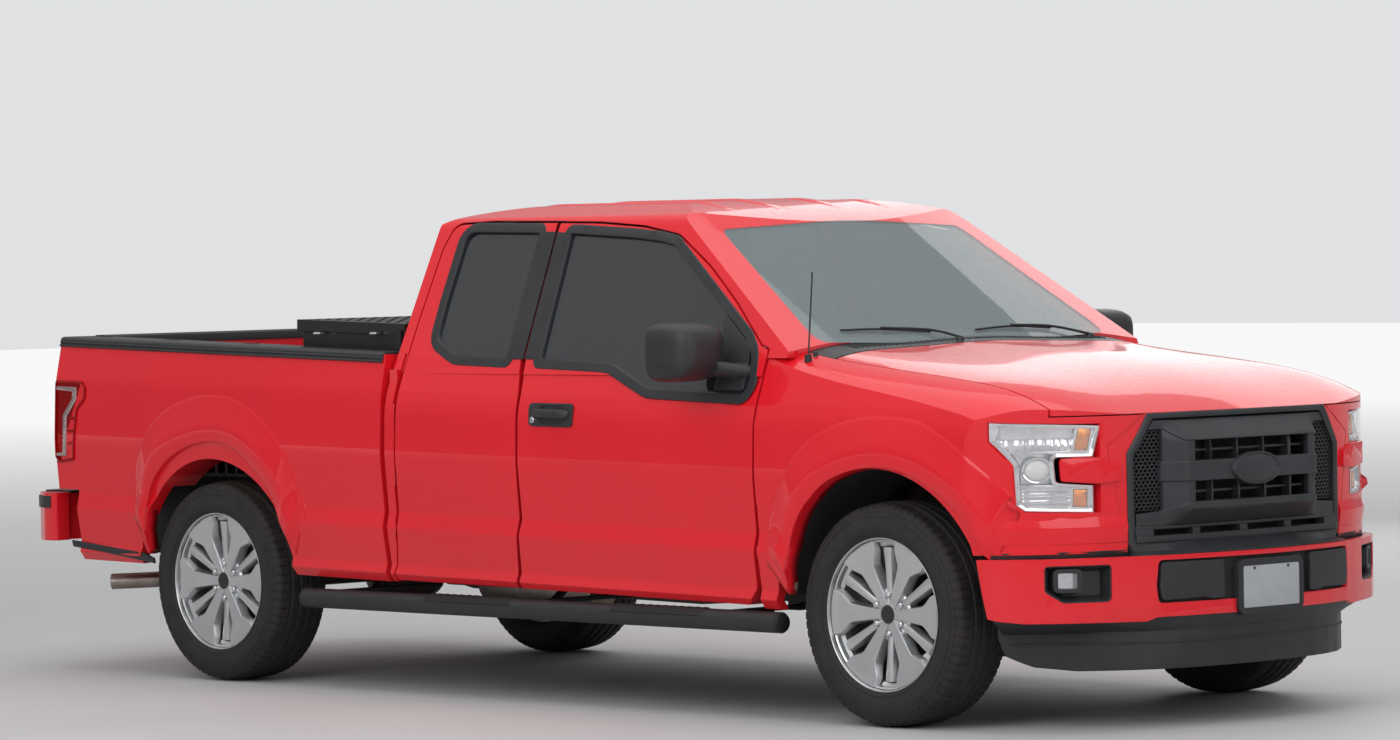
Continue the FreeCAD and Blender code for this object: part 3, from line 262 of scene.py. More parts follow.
def paint_finish(name, colour, radius):
    """Clear-coated body paint with faint orange peel and a little road film low down."""
    f = Finish(name)
    f.set(Metallic=0.0, IOR=1.5, Specular_IOR_Level=0.15, Coat_Weight=0.65, Coat_Roughness=0.035, Coat_IOR=1.5)
    cloud = f.noise(1.7, 2.0)
    base = f.blend(cloud, "Fac", shade(colour, 0.94), shade(colour, 1.06))
    where = f.add("ShaderNodeSeparateXYZ")
    f.join(f.place, "Object", where, "Vector")
    film = f.add("ShaderNodeMix", data_type="RGBA")
    f.join(f.spread(where, "Z", 0.035, 0.0, 0.35, 0.75), "Result", film, "Factor")
    f.tree.links.new(mix_output(base, "Result"), colour_input(film, "A"))
    colour_input(film, "B").default_value = (0.33, 0.25, 0.22, 1)
    f.colour(film)
    rough = f.noise(40.0, 3.0)
    f.join(f.spread(rough, "Fac", 0.3, 0.38), "Result", f.shader, "Roughness")
    peel = f.noise(260.0, 1.0)
    f.relief(peel, "Fac", 0.00004, 0.3, radius)
    return f.material


def plastic_finish(name, colour, rough, grain, depth, radius=0.0, wear=1.25):
    """Moulded plastic or rubber with a fine grain and slightly faded patches."""
    f = Finish(name)
    f.set(Specular_IOR_Level=0.42)
    patch = f.noise(6.0, 4.0, 0.6)
    f.colour(f.blend(f.spread(patch, "Fac", 0, 1), "Result", shade(colour, 0.85), shade(colour, wear)))
    fine = f.noise(grain * 0.5, 3.0)
    f.join(f.spread(fine, "Fac", rough - 0.07, rough + 0.09), "Result", f.shader, "Roughness")
    cells = f.add("ShaderNodeTexVoronoi")
    cells.inputs["Scale"].default_value = grain
    f.join(f.place, "Object", cells, "Vector")
    f.relief(cells, "Distance", depth, 0.6, radius)
    return f.material


def metal_finish(name, colour, rough, grain, depth, metallic=1.0, stain=None, radius=0.0):
    """Bare, cast, brushed or plated metal; a stain colour adds rust or heat marks."""
    f = Finish(name)
    f.set(Metallic=metallic)
    cloud = f.noise(11.0, 5.0, 0.6)
    other = stain or shade(colour, 0.82)
    f.colour(f.blend(f.spread(cloud, "Fac", 0, 1, 0.35, 0.75), "Result", colour, other))
    fine = f.noise(grain, 4.0, 0.6)
    f.join(f.spread(fine, "Fac", max(rough - 0.08, 0.02), rough + 0.1), "Result", f.shader, "Roughness")
    f.relief(fine, "Fac", depth, 0.5, radius)
    return f.material


def glass_finish(name, colour, alpha, rough=0.012):
    """Glass with its tint in the colour, thinned by the alpha, and faint wiping haze."""
    f = Finish(name)
    f.set(IOR=1.75, Alpha=alpha)
    haze = f.noise(3.0, 4.0, 0.6, (1, 1, 3))
    f.colour(f.blend(haze, "Fac", colour, shade(colour, 1.12)))
    f.join(f.spread(haze, "Fac", rough * 0.5, rough * 2.0), "Result", f.shader, "Roughness")
    wave = f.noise(1.3, 1.0)
    f.relief(wave, "Fac", 0.0004, 0.2)
    return f.material


def dark_glass_finish(name, colour, alpha=1.0):
    """Deep tinted glass that mostly mirrors what stands round it."""
    f = Finish(name)
    f.set(IOR=1.52, Coat_Weight=1.0, Coat_Roughness=0.01, Alpha=alpha)
    haze = f.noise(2.2, 4.0, 0.6, (1, 1, 2))
    f.colour(f.blend(haze, "Fac", shade(colour, 0.8), shade(colour, 1.3)))
    f.join(f.spread(haze, "Fac", 0.02, 0.06), "Result", f.shader, "Roughness")
    wave = f.noise(1.1, 1.0)
    f.relief(wave, "Fac", 0.0005, 0.2)
    return f.material


def cloth_finish(name, colour):
    """Flat-woven seat cloth with a visible weave and soft sheen."""
    f = Finish(name)
    f.set(Roughness=0.92, Sheen_Weight=0.35, Sheen_Roughness=0.5, Specular_IOR_Level=0.2)
    threads = []
    for direction in ("X", "Z"):
        wave = f.add("ShaderNodeTexWave", wave_type="BANDS", bands_direction=direction)
        wave.inputs["Scale"].default_value = 160.0
        wave.inputs["Distortion"].default_value = 0.6
        f.join(f.place, "Object", wave, "Vector")
        threads.append(wave)
    weave = f.add("ShaderNodeMath", operation="MAXIMUM")
    f.join(threads[0], "Fac", weave, 0)
    f.join(threads[1], "Fac", weave, 1)
    cloud = f.noise(30.0, 4.0)
    f.colour(f.blend(cloud, "Fac", shade(colour, 0.75), shade(colour, 1.35)))
    f.relief(weave, "Value", 0.0006, 0.7)
    return f.material


def tyre_finish(name):
    """Black rubber with fine mould lines and dust in the tread."""
    f = Finish(name)
    f.set(Specular_IOR_Level=0.35)
    cloud = f.noise(14.0, 5.0, 0.65)
    f.colour(f.blend(f.spread(cloud, "Fac", 0, 1), "Result", (0.014, 0.014, 0.015), (0.034, 0.031, 0.028)))
    f.join(f.spread(cloud, "Fac", 0.62, 0.86), "Result", f.shader, "Roughness")
    fine = f.noise(420.0, 2.0)
    f.relief(fine, "Fac", 0.0003, 0.5)
    return f.material


def alloy_finish(name, colour):
    """Machined alloy under lacquer, with fine turning marks and faint patchy brake dust."""
    f = Finish(name)
    f.set(Metallic=0.9, Coat_Weight=0.4, Coat_Roughness=0.08)
    cloud = f.noise(7.0, 4.0)
    f.colour(f.blend(cloud, "Fac", shade(colour, 0.86), shade(colour, 1.1)))
    turned = f.noise(90.0, 3.0, 0.5, (1, 14, 1))
    f.join(f.spread(turned, "Fac", 0.3, 0.44), "Result", f.shader, "Roughness")
    f.relief(turned, "Fac", 0.00008, 0.4, 0.0015)
    return f.material


def lens_finish(name, colour, alpha=0.14, rough=0.03):
    """Clear moulded lamp cover."""
    f = Finish(name)
    f.set(IOR=1.6, Alpha=alpha)
    cloud = f.noise(8.0, 2.0)
    f.colour(f.blend(cloud, "Fac", colour, shade(colour, 0.92)))
    f.join(f.spread(cloud, "Fac", rough * 0.6, rough * 1.6), "Result", f.shader, "Roughness")
    f.relief(f.noise(3.0, 1.0), "Fac", 0.0002, 0.2)
    return f.material


def reflector_finish(name, colour, rough=0.12, scale=90.0, depth=0.0006):
    """Silvered or coloured reflector with small moulded facets."""
    f = Finish(name)
    f.set(Metallic=0.85)
    cells = f.add("ShaderNodeTexVoronoi")
    cells.inputs["Scale"].default_value = scale
    f.join(f.place, "Object", cells, "Vector")
    f.colour(f.blend(cells, "Distance", colour, shade(colour, 0.8)))
    f.join(f.spread(cells, "Distance", rough * 0.6, rough * 1.5, 0, 1), "Result", f.shader, "Roughness")
    f.relief(cells, "Distance", depth, 0.5)
    return f.material


def slots():
    """How each finish of this truck is made: a function and its values."""
    c = colours()
    r = sizes().edge_radius
    trim = tuple(c.trim)
    return {
        "paint": (paint_finish, tuple(c.paint), r),
        "trim": (plastic_finish, trim, 0.46, 520.0, 0.0003, r * 0.6),
        "grille": (plastic_finish, (0.03, 0.032, 0.036), 0.42, 480.0, 0.0002, 0.003),
        "rubber": (plastic_finish, (0.012, 0.012, 0.013), 0.62, 700.0, 0.0002),
        "gloss_black": (dark_glass_finish, (0.012, 0.012, 0.014)),
        "tyre": (tyre_finish,),
        "alloy": (alloy_finish, tuple(c.wheel)),
        "windscreen": (glass_finish, (0.26, 0.32, 0.33), 0.42),
        "tinted": (glass_finish, (0.018, 0.022, 0.026), 0.86),
        "carpet": (plastic_finish, (0.05, 0.05, 0.052), 0.93, 900.0, 0.0012),
        "dash": (plastic_finish, (0.1, 0.1, 0.105), 0.6, 600.0, 0.0004, 0.006),
        "card": (plastic_finish, (0.17, 0.165, 0.16), 0.62, 600.0, 0.0004, 0.006),
        "cloth": (cloth_finish, tuple(c.cloth)),
        "liner": (plastic_finish, (0.02, 0.02, 0.021), 0.66, 260.0, 0.0008, 0.004),
        "chassis": (metal_finish, (0.028, 0.027, 0.027), 0.55, 60.0, 0.0006, 0.35, (0.085, 0.05, 0.032)
        ),
        "cast": (metal_finish, (0.26, 0.26, 0.26), 0.5, 90.0, 0.0008, 0.85, (0.14, 0.11, 0.09)),
        "steel": (metal_finish, (0.38, 0.36, 0.34), 0.38, 70.0, 0.0003, 1.0, (0.26, 0.19, 0.14)),
        "chrome": (metal_finish, (0.82, 0.83, 0.85), 0.09, 200.0, 0.00003, 1.0, None, 0.002),
        "black_plate": (metal_finish, (0.02, 0.02, 0.022), 0.36, 200.0, 0.0001, 0.3, None, 0.003),
        "lens": (lens_finish, (0.8, 0.82, 0.85)),
        "red_lens": (reflector_finish, (0.5, 0.008, 0.01), 0.16, 70.0),
        "pale_lens": (reflector_finish, (0.55, 0.42, 0.41), 0.16, 70.0),
        "amber": (reflector_finish, (0.95, 0.3, 0.02), 0.2, 120.0),
        "silver": (reflector_finish, (0.86, 0.87, 0.89), 0.13, 25.0, 0.0004),
        "bulb": (lens_finish, (0.92, 0.92, 0.9), 0.75),
        "plate": (plastic_finish, (0.42, 0.44, 0.47), 0.4, 300.0, 0.0001, 0.001, 1.05),
        "mirror_glass": (metal_finish, (0.72, 0.74, 0.76), 0.04, 30.0, 0.00001, 1.0),
        "leather": (plastic_finish, (0.03, 0.03, 0.031), 0.5, 420.0, 0.0004, 0.002),
    }


def finish(name):
    """The finish of this name, made when a piece first asks for it."""
    label = f"truck_{name}"
    if label not in bpy.data.materials:
        maker, *values = slots()[name]
        maker(label, *values)
    return bpy.data.materials[label]


# Pieces. A piece is one mesh object with its finishes, riding on one body.


def piece(name, bm, finishes, body="truck", smooth=35, stands_for=(), sheet=0.0):
    """The bmesh as a finished object on the given body; an open skin becomes a sheet of the given thickness."""
    mesh = bpy.data.meshes.new(name)
    if not sheet:
        bmesh.ops.recalc_face_normals(bm, faces=bm.faces)
    bm.normal_update()
    bm.to_mesh(mesh)
    bm.free()
    made = bpy.data.objects.new(name, mesh)
    bpy.context.scene.collection.objects.link(made)
    for key in [finishes] if isinstance(finishes, str) else finishes:
        mesh.materials.append(finish(key))
    mesh.shade_smooth()
    mesh.set_sharp_from_angle(angle=math.radians(smooth))
    if sheet:
        thick = made.modifiers.new("Sheet", "SOLIDIFY")
        thick.thickness = sheet
    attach(made, body)
    if stands_for:
        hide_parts(*stands_for)
    return made


def set_finish(bm, start, index):
    """Faces made since the count start take the finish with this index."""
    bm.faces.ensure_lookup_table()
    for face in bm.faces[start:]:
        face.material_index = index


def grid(bm, rows, index=0, wrap_rows=True, wrap_points=False):
    """A skin through rows of points that may close on itself both ways."""
    start = len(bm.faces)
    made = [[bm.verts.new(p) for p in row] for row in rows]
    count = len(made[0])
    for i in range(len(made) if wrap_rows else len(made) - 1):
        a, b = made[i], made[(i + 1) % len(made)]
        for j in range(count if wrap_points else count - 1):
            k = (j + 1) % count
            bm.faces.new((a[j], a[k], b[k], b[j]))
    set_finish(bm, start, index)
    return made


def rings(bm, loops, index=0):
    """A capped skin through closed loops of points, each with the same number of points."""
    start = len(bm.faces)
    rows = grid(bm, loops, index, False, True)
    bm.faces.new(list(reversed(rows[0])))
    bm.faces.new(rows[-1])
    set_finish(bm, start, index)


def block(bm, low, high, index=0, taper=0.0):
    """A block between two corners whose top is pulled in by the taper."""
    (x0, y0, z0), (x1, y1, z1) = low, high
    foot = [(x, y, z0) for x, y in oblong(x0, y0, x1, y1)]
    top = [(x, y, z1) for x, y in oblong(x0 + taper, y0 + taper, x1 - taper, y1 - taper)]
    rings(bm, [foot, top], index)


def tube(bm, points, radius, sides=10, index=0):
    """A round bar through the points; the radius may be one number or one for each point."""
    points = [Vector(p) for p in points]
    radii = radius if isinstance(radius, (list, tuple)) else [radius] * len(points)
    up = Vector((0, 0, 1))
    loops = []
    for i, point in enumerate(points):
        ahead = points[min(i + 1, len(points) - 1)] - points[max(i - 1, 0)]
        ahead.normalize()
        if i == 0 and abs(ahead.dot(up)) > 0.9:
            up = Vector((0, 1, 0))
        side = ahead.cross(up).normalized()
        up = side.cross(ahead).normalized()
        loops.append([point + (side * math.cos(a) + up * math.sin(a)) * radii[i] for a in circle(sides)])
    rings(bm, loops, index)


def rounded(corners, steps=5):
    """An outline of (u, v, radius) corners with each corner turned in an arc."""
    out = []
    count = len(corners)
    for i, corner in enumerate(corners):
        u, v = corner[:2]
        radius = corner[2] if len(corner) > 2 else 0
        if not radius:
            out.append((u, v))
            continue
        here = Vector((u, v))
        before = (Vector(corners[i - 1][:2]) - here).normalized()
        after = (Vector(corners[(i + 1) % count][:2]) - here).normalized()
        half = before.angle(after) / 2
        back = min(radius / math.tan(half), 1e3)
        first, last = here + before * back, here + after * back
        for k in range(steps + 1):
            t = k / steps
            point = first * (1 - t) ** 2 + here * 2 * t * (1 - t) + last * t**2
            out.append((point.x, point.y))
    return out


def oblong(u0, v0, u1, v1, radius=0.0, steps=4):
    """A four-cornered outline from one corner to the opposite one, turned in arcs where a radius is given."""
    corners = [(u0, v0), (u1, v0), (u1, v1), (u0, v1)]
    return even(corners, radius, steps) if radius else corners


def even(corners, radius, steps=3):
    """The outline with every corner turned in an arc of the same radius."""
    return rounded([(u, v, radius) for u, v in corners], steps)


def circle(count):
    """Angles that part a full turn into equal steps."""
    return [2 * math.pi * k / count for k in range(count)]


def along(start, length, count):
    """The count + 1 places that cut a length into equal parts."""
    return [start + length * k / count for k in range(count + 1)]


def facing_x(x, out):
    """Upright surface across the truck at x: u along Y, v up, w forwards (out 1) or backwards (out -1)."""
    return lambda u, v, w: Vector((x + out * w, u, v))


TREES = {}


def tree(node):
    """A search tree over the faces of a solid, as it stands at rest."""
    if node not in TREES:
        source = NODES[node]
        bm = bmesh.new()
        bm.from_mesh(source.data)
        bm.transform(source.matrix_world)
        TREES[node] = BVHTree.FromBMesh(bm)
        bm.free()
    return TREES[node]


def touch(nodes, start, way):
    """The first point where a line from start meets one of the nodes."""
    best, nearest = None, math.inf
    for node in nodes:
        point, _, _, distance = tree(node).ray_cast(Vector(start), Vector(way))
        if point is not None and distance < nearest:
            best, nearest = point, distance
    return best


def on_side(nodes, x, z, sign):
    """The outermost point of the nodes at x and z on the given side."""
    return touch(nodes, (x, sign * 2.0, z), (0, -sign, 0))


def on_top(nodes, x, y):
    """The highest point of the nodes at x and y."""
    return touch(nodes, (x, y, 3.0), (0, 0, -1))


def dense(points, step):
    """The run of points with no two further apart than the step."""
    out = [Vector(points[0])]
    for a, b in zip(points, points[1:]):
        a, b = Vector(a), Vector(b)
        count = max(1, int(math.ceil((b - a).length / step)))
        out.extend(a.lerp(b, k / count) for k in range(1, count + 1))
    return out


def curve_through(points, step=0.03):
    """A smooth run through the points (Catmull-Rom), sampled at about the step."""
    pts = [Vector(p) for p in points]
    pts = [pts[0] * 2 - pts[1]] + pts + [pts[-1] * 2 - pts[-2]]
    out = []
    for p0, p1, p2, p3 in zip(pts, pts[1:], pts[2:], pts[3:]):
        count = max(2, int((p2 - p1).length / step))
        for k in range(count):
            t = k / count
            out.append(
                0.5
                * (
                    2 * p1
                    + (p2 - p0) * t
                    + (2 * p0 - 5 * p1 + 4 * p2 - p3) * t**2
                    + (3 * p1 - p0 - 3 * p2 + p3) * t**3
                )
            )
    out.append(pts[-2])
    return out


CAMERA_AT = (15.696, -14.936, 1.739)
CAMERA_TURN = (135.79, -1.5, -1.01)  # yaw, pitch and roll in degrees
PHOTO_WIDTH = 1400
FOCAL_PIXELS = 5608.2
SHIFT_PIXELS = (-49.1, 9.5)


class TRUCK_OT_stage(bpy.types.Operator):
    """Pale floor with a painted glow further out, soft lamps, sky dome and the camera"""

    bl_idname = "truck.stage"
    bl_label = "Stage"

    def execute(self, context):
        scene = context.scene
        bm = bmesh.new()
        bmesh.ops.create_grid(bm, x_segments=4, y_segments=4, size=60)
        mesh = bpy.data.meshes.new("studio_floor")
        bm.to_mesh(mesh)
        bm.free()
        ground = bpy.data.objects.new("studio_floor", mesh)
        scene.collection.objects.link(ground)
        f = Finish("studio_floor")
        f.set(Specular_IOR_Level=0.25)
        cloud = f.noise(0.6, 5.0, 0.6)
        f.colour(f.blend(cloud, "Fac", (0.5, 0.5, 0.505), (0.56, 0.56, 0.56)))
        f.join(f.spread(cloud, "Fac", 0.55, 0.75), "Result", f.shader, "Roughness")
        # Painted light: the floor glows white, not at all within 6 m of the middle and more strongly further
        # out, so the far floor fades into the white backdrop.
        reach = f.add("ShaderNodeVectorMath", operation="LENGTH")
        f.join(f.place, "Object", reach, 0)
        f.set(Emission_Color=(1, 1, 1, 1))
        f.join(f.spread(reach, "Value", 0.0, 0.62, 6.0, 34.0), "Result", f.shader, "Emission Strength")
        mesh.materials.append(f.material)

        world = bpy.data.worlds.new("studio_dome")
        world.use_nodes = True
        tree_nodes = world.node_tree.nodes
        links = world.node_tree.links
        place = tree_nodes.new("ShaderNodeTexCoord")
        split = tree_nodes.new("ShaderNodeSeparateXYZ")
        ramp = tree_nodes.new("ShaderNodeValToRGB")
        links.new(place.outputs["Generated"], split.inputs["Vector"])
        links.new(split.outputs["Z"], ramp.inputs["Fac"])
        ramp.color_ramp.elements[0].position = 0.0
        ramp.color_ramp.elements[0].color = (0.36, 0.37, 0.39, 1)
        ramp.color_ramp.elements[1].position = 0.5
        ramp.color_ramp.elements[1].color = (1.0, 1.0, 1.0, 1)
        back = tree_nodes["Background"]
        eye = tree_nodes.new("ShaderNodeLightPath")
        seen = tree_nodes.new("ShaderNodeMix")
        seen.data_type = "RGBA"
        links.new(eye.outputs["Is Camera Ray"], seen.inputs["Factor"])
        links.new(ramp.outputs["Color"], colour_input(seen, "A"))
        colour_input(seen, "B").default_value = (1.25, 1.26, 1.28, 1)
        links.new(mix_output(seen, "Result"), back.inputs["Color"])
        back.inputs["Strength"].default_value = 0.6
        scene.world = world

        lamps = (
            ("overhead", (0.5, -0.5, 7.5), (0.0, 0.0, 0.0), 9.0, 230),
            ("near_side", (3.5, -9.5, 5.5), (0.3, 0.0, 0.8), 6.0, 330),
            ("ahead", (10.5, -2.0, 4.5), (1.5, 0.0, 0.8), 5.0, 180),
            ("far_side", (-4.0, 9.0, 5.0), (0.0, 0.0, 0.8), 6.0, 160),
        )
        for name, where, aim, size, power in lamps:
            lamp = bpy.data.lights.new(name, "AREA")
            lamp.energy = power
            lamp.size = size
            made = bpy.data.objects.new(name, lamp)
            made.location = where
            way = Vector(aim) - Vector(where)
            made.rotation_euler = way.to_track_quat("-Z", "Y").to_euler()
            scene.collection.objects.link(made)

        yaw, pitch, roll = (math.radians(angle) for angle in CAMERA_TURN)
        ahead = Vector((math.cos(yaw) * math.cos(pitch), math.sin(yaw) * math.cos(pitch), math.sin(pitch)))
        right = ahead.cross(Vector((0, 0, 1))).normalized()
        up = right.cross(ahead)
        turned_right = right * math.cos(roll) + up * math.sin(roll)
        turned_up = up * math.cos(roll) - right * math.sin(roll)
        lens = bpy.data.cameras.new("camera")
        lens.sensor_width = 36.0
        lens.lens = FOCAL_PIXELS / PHOTO_WIDTH * lens.sensor_width
        lens.shift_x = SHIFT_PIXELS[0] / PHOTO_WIDTH
        lens.shift_y = SHIFT_PIXELS[1] / PHOTO_WIDTH
        lens.clip_end = 200
        view = bpy.data.objects.new("camera", lens)
        turn = Matrix((turned_right, turned_up, -ahead)).transposed().to_4x4()
        turn.translation = Vector(CAMERA_AT)
        view.matrix_world = turn
        scene.collection.objects.link(view)
        scene.camera = view
        scene.view_settings.view_transform = "Standard"
        return {"FINISHED"}


def dress(node, *keys):
    """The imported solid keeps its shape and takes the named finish."""
    made = NODES[node]
    made.data.materials.clear()
    for key in keys:
        made.data.materials.append(finish(key))
    made.data.shade_smooth()
    return made


class TRUCK_OT_bodywork(bpy.types.Operator):
    """Paint, glass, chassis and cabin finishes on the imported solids"""

    bl_idname = "truck.bodywork"
    bl_label = "Bodywork finishes"

    def execute(self, context):
        plain = {
            "paint": (
                "roof cab_back cab_side_right cab_side_left hood fender_right fender_left bed_side_right "
                "bed_side_left tailgate door_front_right door_front_left door_rear_right door_rear_left "
                "front_bumper rear_bumper"
            ),
            "windscreen": "windscreen",
            "tinted": (
                "backlight door_glass_front_right door_glass_front_left door_glass_rear_right "
                "door_glass_rear_left"
            ),
            "trim": "cowl mirror_right mirror_left air_dam antenna step_bars",
            "grille": "grille",
            "silver": "headlights",
            "red_lens": "tail_lights",
            "carpet": "cab_floor",
            "liner": "bed_floor",
            "dash": "dashboard steering_column",
            "leather": "steering_wheel",
            "cloth": "front_seats rear_seat",
            "black_plate": "toolbox toolbox_lid",
            "chassis": "frame front_suspension rear_axle_assembly front_structure knuckle_right knuckle_left",
            "cast": "engine",
            "rubber": "fuel_tank",
            "steel": "exhaust radiator",
            "alloy": "wheel_front_right wheel_front_left wheel_rear_right wheel_rear_left",
            "tyre": "tyre_front_right tyre_front_left tyre_rear_right tyre_rear_left spare_wheel",
        }
        left = set(NODES)
        for key, names in plain.items():
            for node in names.split():
                dress(node, key)
                left.discard(node)
        if left:
            raise RuntimeError("no finish for: " + ", ".join(sorted(left)))
        return {"FINISHED"}


# Wheels, measured by the radius from the axle, the angle round it and the reach outwards from the middle.

WHEEL_Y = 0.8585
AXLE_Z = 0.396
AXLES = {"front": 1.992, "rear": -1.691}


def on_wheel(centre, sign):
    """A function that turns (radius, angle, reach) at a wheel into a point of the truck."""
    cx, cy, cz = centre

    def point(radius, angle, reach):
        return (cx + radius * math.cos(angle), cy + sign * reach, cz + radius * math.sin(angle))

    return point


def on_post(centre, way):
    """The same round an upright axis, with the reach upwards (1) or downwards (-1)."""
    cx, cy, cz = centre

    def point(radius, angle, reach):
        return (cx + radius * math.cos(angle), cy + radius * math.sin(angle), cz + way * reach)

    return point


TYRE_WALL = (
    (0.262, -0.104), (0.27, -0.118), (0.284, -0.13), (0.306, -0.1365), (0.33, -0.1375), (0.352, -0.133),
    (0.37, -0.1255), (0.3805, -0.117),
)
TREAD_HALF = 0.11
TREAD_GROOVES = (-0.062, -0.022, 0.022, 0.062)
STEPS_PER_PITCH = 5
PITCHES = 72


def groove_depth(step, reach, depth):
    """How deep the tread is cut at this step of the turn and this reach across it."""
    notched = step % STEPS_PER_PITCH == 0
    if any(abs(reach - groove) < 0.0048 for groove in TREAD_GROOVES):
        return depth
    if abs(reach) > 0.07:
        return depth * 0.75 if notched else 0.0
    shift = int(abs(reach) * 500) % STEPS_PER_PITCH
    return depth * 0.32 if (step + shift) % STEPS_PER_PITCH == 0 else 0.0


def tyre(bm, point, depth, scale=1.0):
    """Carcass with ringed side walls, four grooves round the tread and cut shoulder blocks."""
    rows = []
    for step, angle in enumerate(circle(PITCHES * STEPS_PER_PITCH)):
        row = []
        for radius, reach in TYRE_WALL:
            notch = 0.0035 if step % STEPS_PER_PITCH == 0 and radius > 0.36 else 0.0
            row.append((radius - notch * 0.4, reach + notch))
        far_wall = [(radius, -reach) for radius, reach in reversed(row)]
        for i in range(45):
            reach = -TREAD_HALF + 2 * TREAD_HALF * i / 44
            crown = 0.3955 - 0.0085 * (abs(reach) / TREAD_HALF) ** 2.4
            row.append((crown - groove_depth(step, reach, depth), reach))
        row += far_wall + [(0.256, 0.06), (0.256, -0.06)]
        rows.append([point(radius * scale, angle, reach * scale) for radius, reach in row])
    grid(bm, rows, wrap_points=True)


def side_rings(bm, point):
    """Fine raised rings on the side wall."""
    for radius, bulge, height in ((0.2865, 0.1308, 0.0016), (0.3445, 0.135, 0.0014), (0.361, 0.129, 0.0012)):
        foot, crest = bulge - 0.003, bulge + height
        section = (
            (radius - 0.0022, foot), (radius - 0.001, crest), (radius + 0.001, crest), (radius + 0.0022, foot))
        turned(bm, point, section, 144)


def turned(bm, point, profile, steps=120, index=0, closed=True):
    """A turned form through (radius, reach) pairs."""
    grid(bm, [[point(radius, angle, reach) for radius, reach in profile] for angle in circle(steps)], index,
         wrap_points=closed)


WIDE_SPOKE = (
    # radius, half width, reach of the face, depth of the sides
    (0.03, 0.015, 0.088, 0.04),
    (0.06, 0.0165, 0.0895, 0.042),
    (0.1, 0.0215, 0.0925, 0.044),
    (0.14, 0.0265, 0.0955, 0.042),
    (0.176, 0.0315, 0.0985, 0.038),
    (0.19, 0.04, 0.0995, 0.034),
    (0.21, 0.0555, 0.101, 0.028),
    (0.228, 0.07, 0.1025, 0.024),
    (0.24, 0.0745, 0.104, 0.022),
    (0.2625, 0.08, 0.1085, 0.02),
)
FINGER = (
    (0.074, 0.0105, 0.078, 0.03),
    (0.1, 0.0115, 0.08, 0.032),
    (0.14, 0.0125, 0.082, 0.032),
    (0.18, 0.014, 0.0845, 0.03),
    (0.215, 0.0165, 0.087, 0.026),
    (0.236, 0.018, 0.088, 0.022),
)


def spoke(bm, point, sections, heading, ridge=0.0):
    """A spoke lofted through its sections, with bevelled sides and a face that may carry a ridge."""
    loops = []
    steps = 8
    for radius, half, reach, depth in sections:
        angle = half / radius
        low = (half + 0.0075) / radius
        bevel = (half + 0.0016) / radius
        loop = [point(radius, heading - low, reach - depth), point(radius, heading - bevel, reach - 0.0022)]
        for k in range(steps + 1):
            t = 2 * k / steps - 1
            edge = 0 if abs(t) < 1 else 0.0003
            loop.append(point(radius, heading + angle * t, reach + ridge * (1 - abs(t)) - edge))
        loop += [point(radius, heading + bevel, reach - 0.0022), point(radius, heading + low, reach - depth)]
        loops.append(loop)
    rings(bm, loops)


RIM = (
    (0.2705, 0.1205), (0.2722, 0.1165), (0.27, 0.1085), (0.256, 0.1), (0.25, 0.04), (0.233, 0.01),
    (0.233, -0.07), (0.256, -0.102), (0.27, -0.11), (0.266, -0.118), (0.25, -0.108),
    (0.226, -0.07), (0.226, 0.012), (0.234, 0.044), (0.239, 0.07), (0.24, 0.076), (0.26, 0.084),
    (0.2632, 0.088), (0.264, 0.11), (0.266, 0.119), (0.2685, 0.1212),
)
HUB_FACE = (
    (0.0, 0.086), (0.026, 0.0862), (0.0345, 0.085), (0.06, 0.079), (0.088, 0.076), (0.096, 0.07),
    (0.1, 0.05), (0.096, 0.03), (0.0, 0.03),
)
SPARE_RIM = (
    (0.262, 0.098), (0.252, 0.09), (0.236, 0.03), (0.2, 0.012), (0.15, 0.03), (0.12, 0.034), (0.06, 0.02),
    (0.04, 0.02), (0.04, 0.014), (0.12, 0.026), (0.15, 0.022), (0.2, 0.004), (0.24, 0.02),
    (0.256, -0.09), (0.264, -0.098), (0.268, -0.094), (0.266, 0.094),
)


def wheel(bm, point):
    """Six wide spokes with six narrow ones between them, in a deep rim round the hub's face."""
    turned(bm, point, RIM, 180)
    turned(bm, point, HUB_FACE, 96, 0, False)
    for i in range(6):
        spoke(bm, point, WIDE_SPOKE, math.pi / 3 * i)
        spoke(bm, point, FINGER, math.pi / 3 * (i + 0.5), ridge=0.0035)


def stud(bm, point, at, heading, layers, sides, index, flats=0.0):
    """A small turned part beside the axle: (radius, reach) layers, with six flats where its reach is low."""
    rows = []
    for radius, reach in layers:
        row = []
        for turn in circle(sides):
            flat = radius * (1.0 if reach > 0.088 else 1.0 - flats * math.cos(6 * turn))
            u = at * math.cos(heading) + flat * math.cos(turn)
            v = at * math.sin(heading) + flat * math.sin(turn)
            row.append(point(math.hypot(u, v), math.atan2(v, u), reach))
        rows.append(row)
    rings(bm, rows, index)


NUT = ((0.0112, 0.07), (0.0112, 0.0865), (0.0104, 0.0895), (0.007, 0.0935), (0.0025, 0.095))
COLLAR = ((0.0165, 0.07), (0.0165, 0.08), (0.015, 0.0806), (0.0128, 0.072))
VALVE = ((0.0042, 0.074), (0.0042, 0.096), (0.0036, 0.101), (0.002, 0.1015))
HUB_CAP = ((0.0, 0.0945), (0.02, 0.0942), (0.03, 0.0925), (0.0325, 0.0895), (0.0325, 0.084))
CAP_RING = ((0.0325, 0.086), (0.033, 0.091), (0.0355, 0.0905), (0.0372, 0.085))


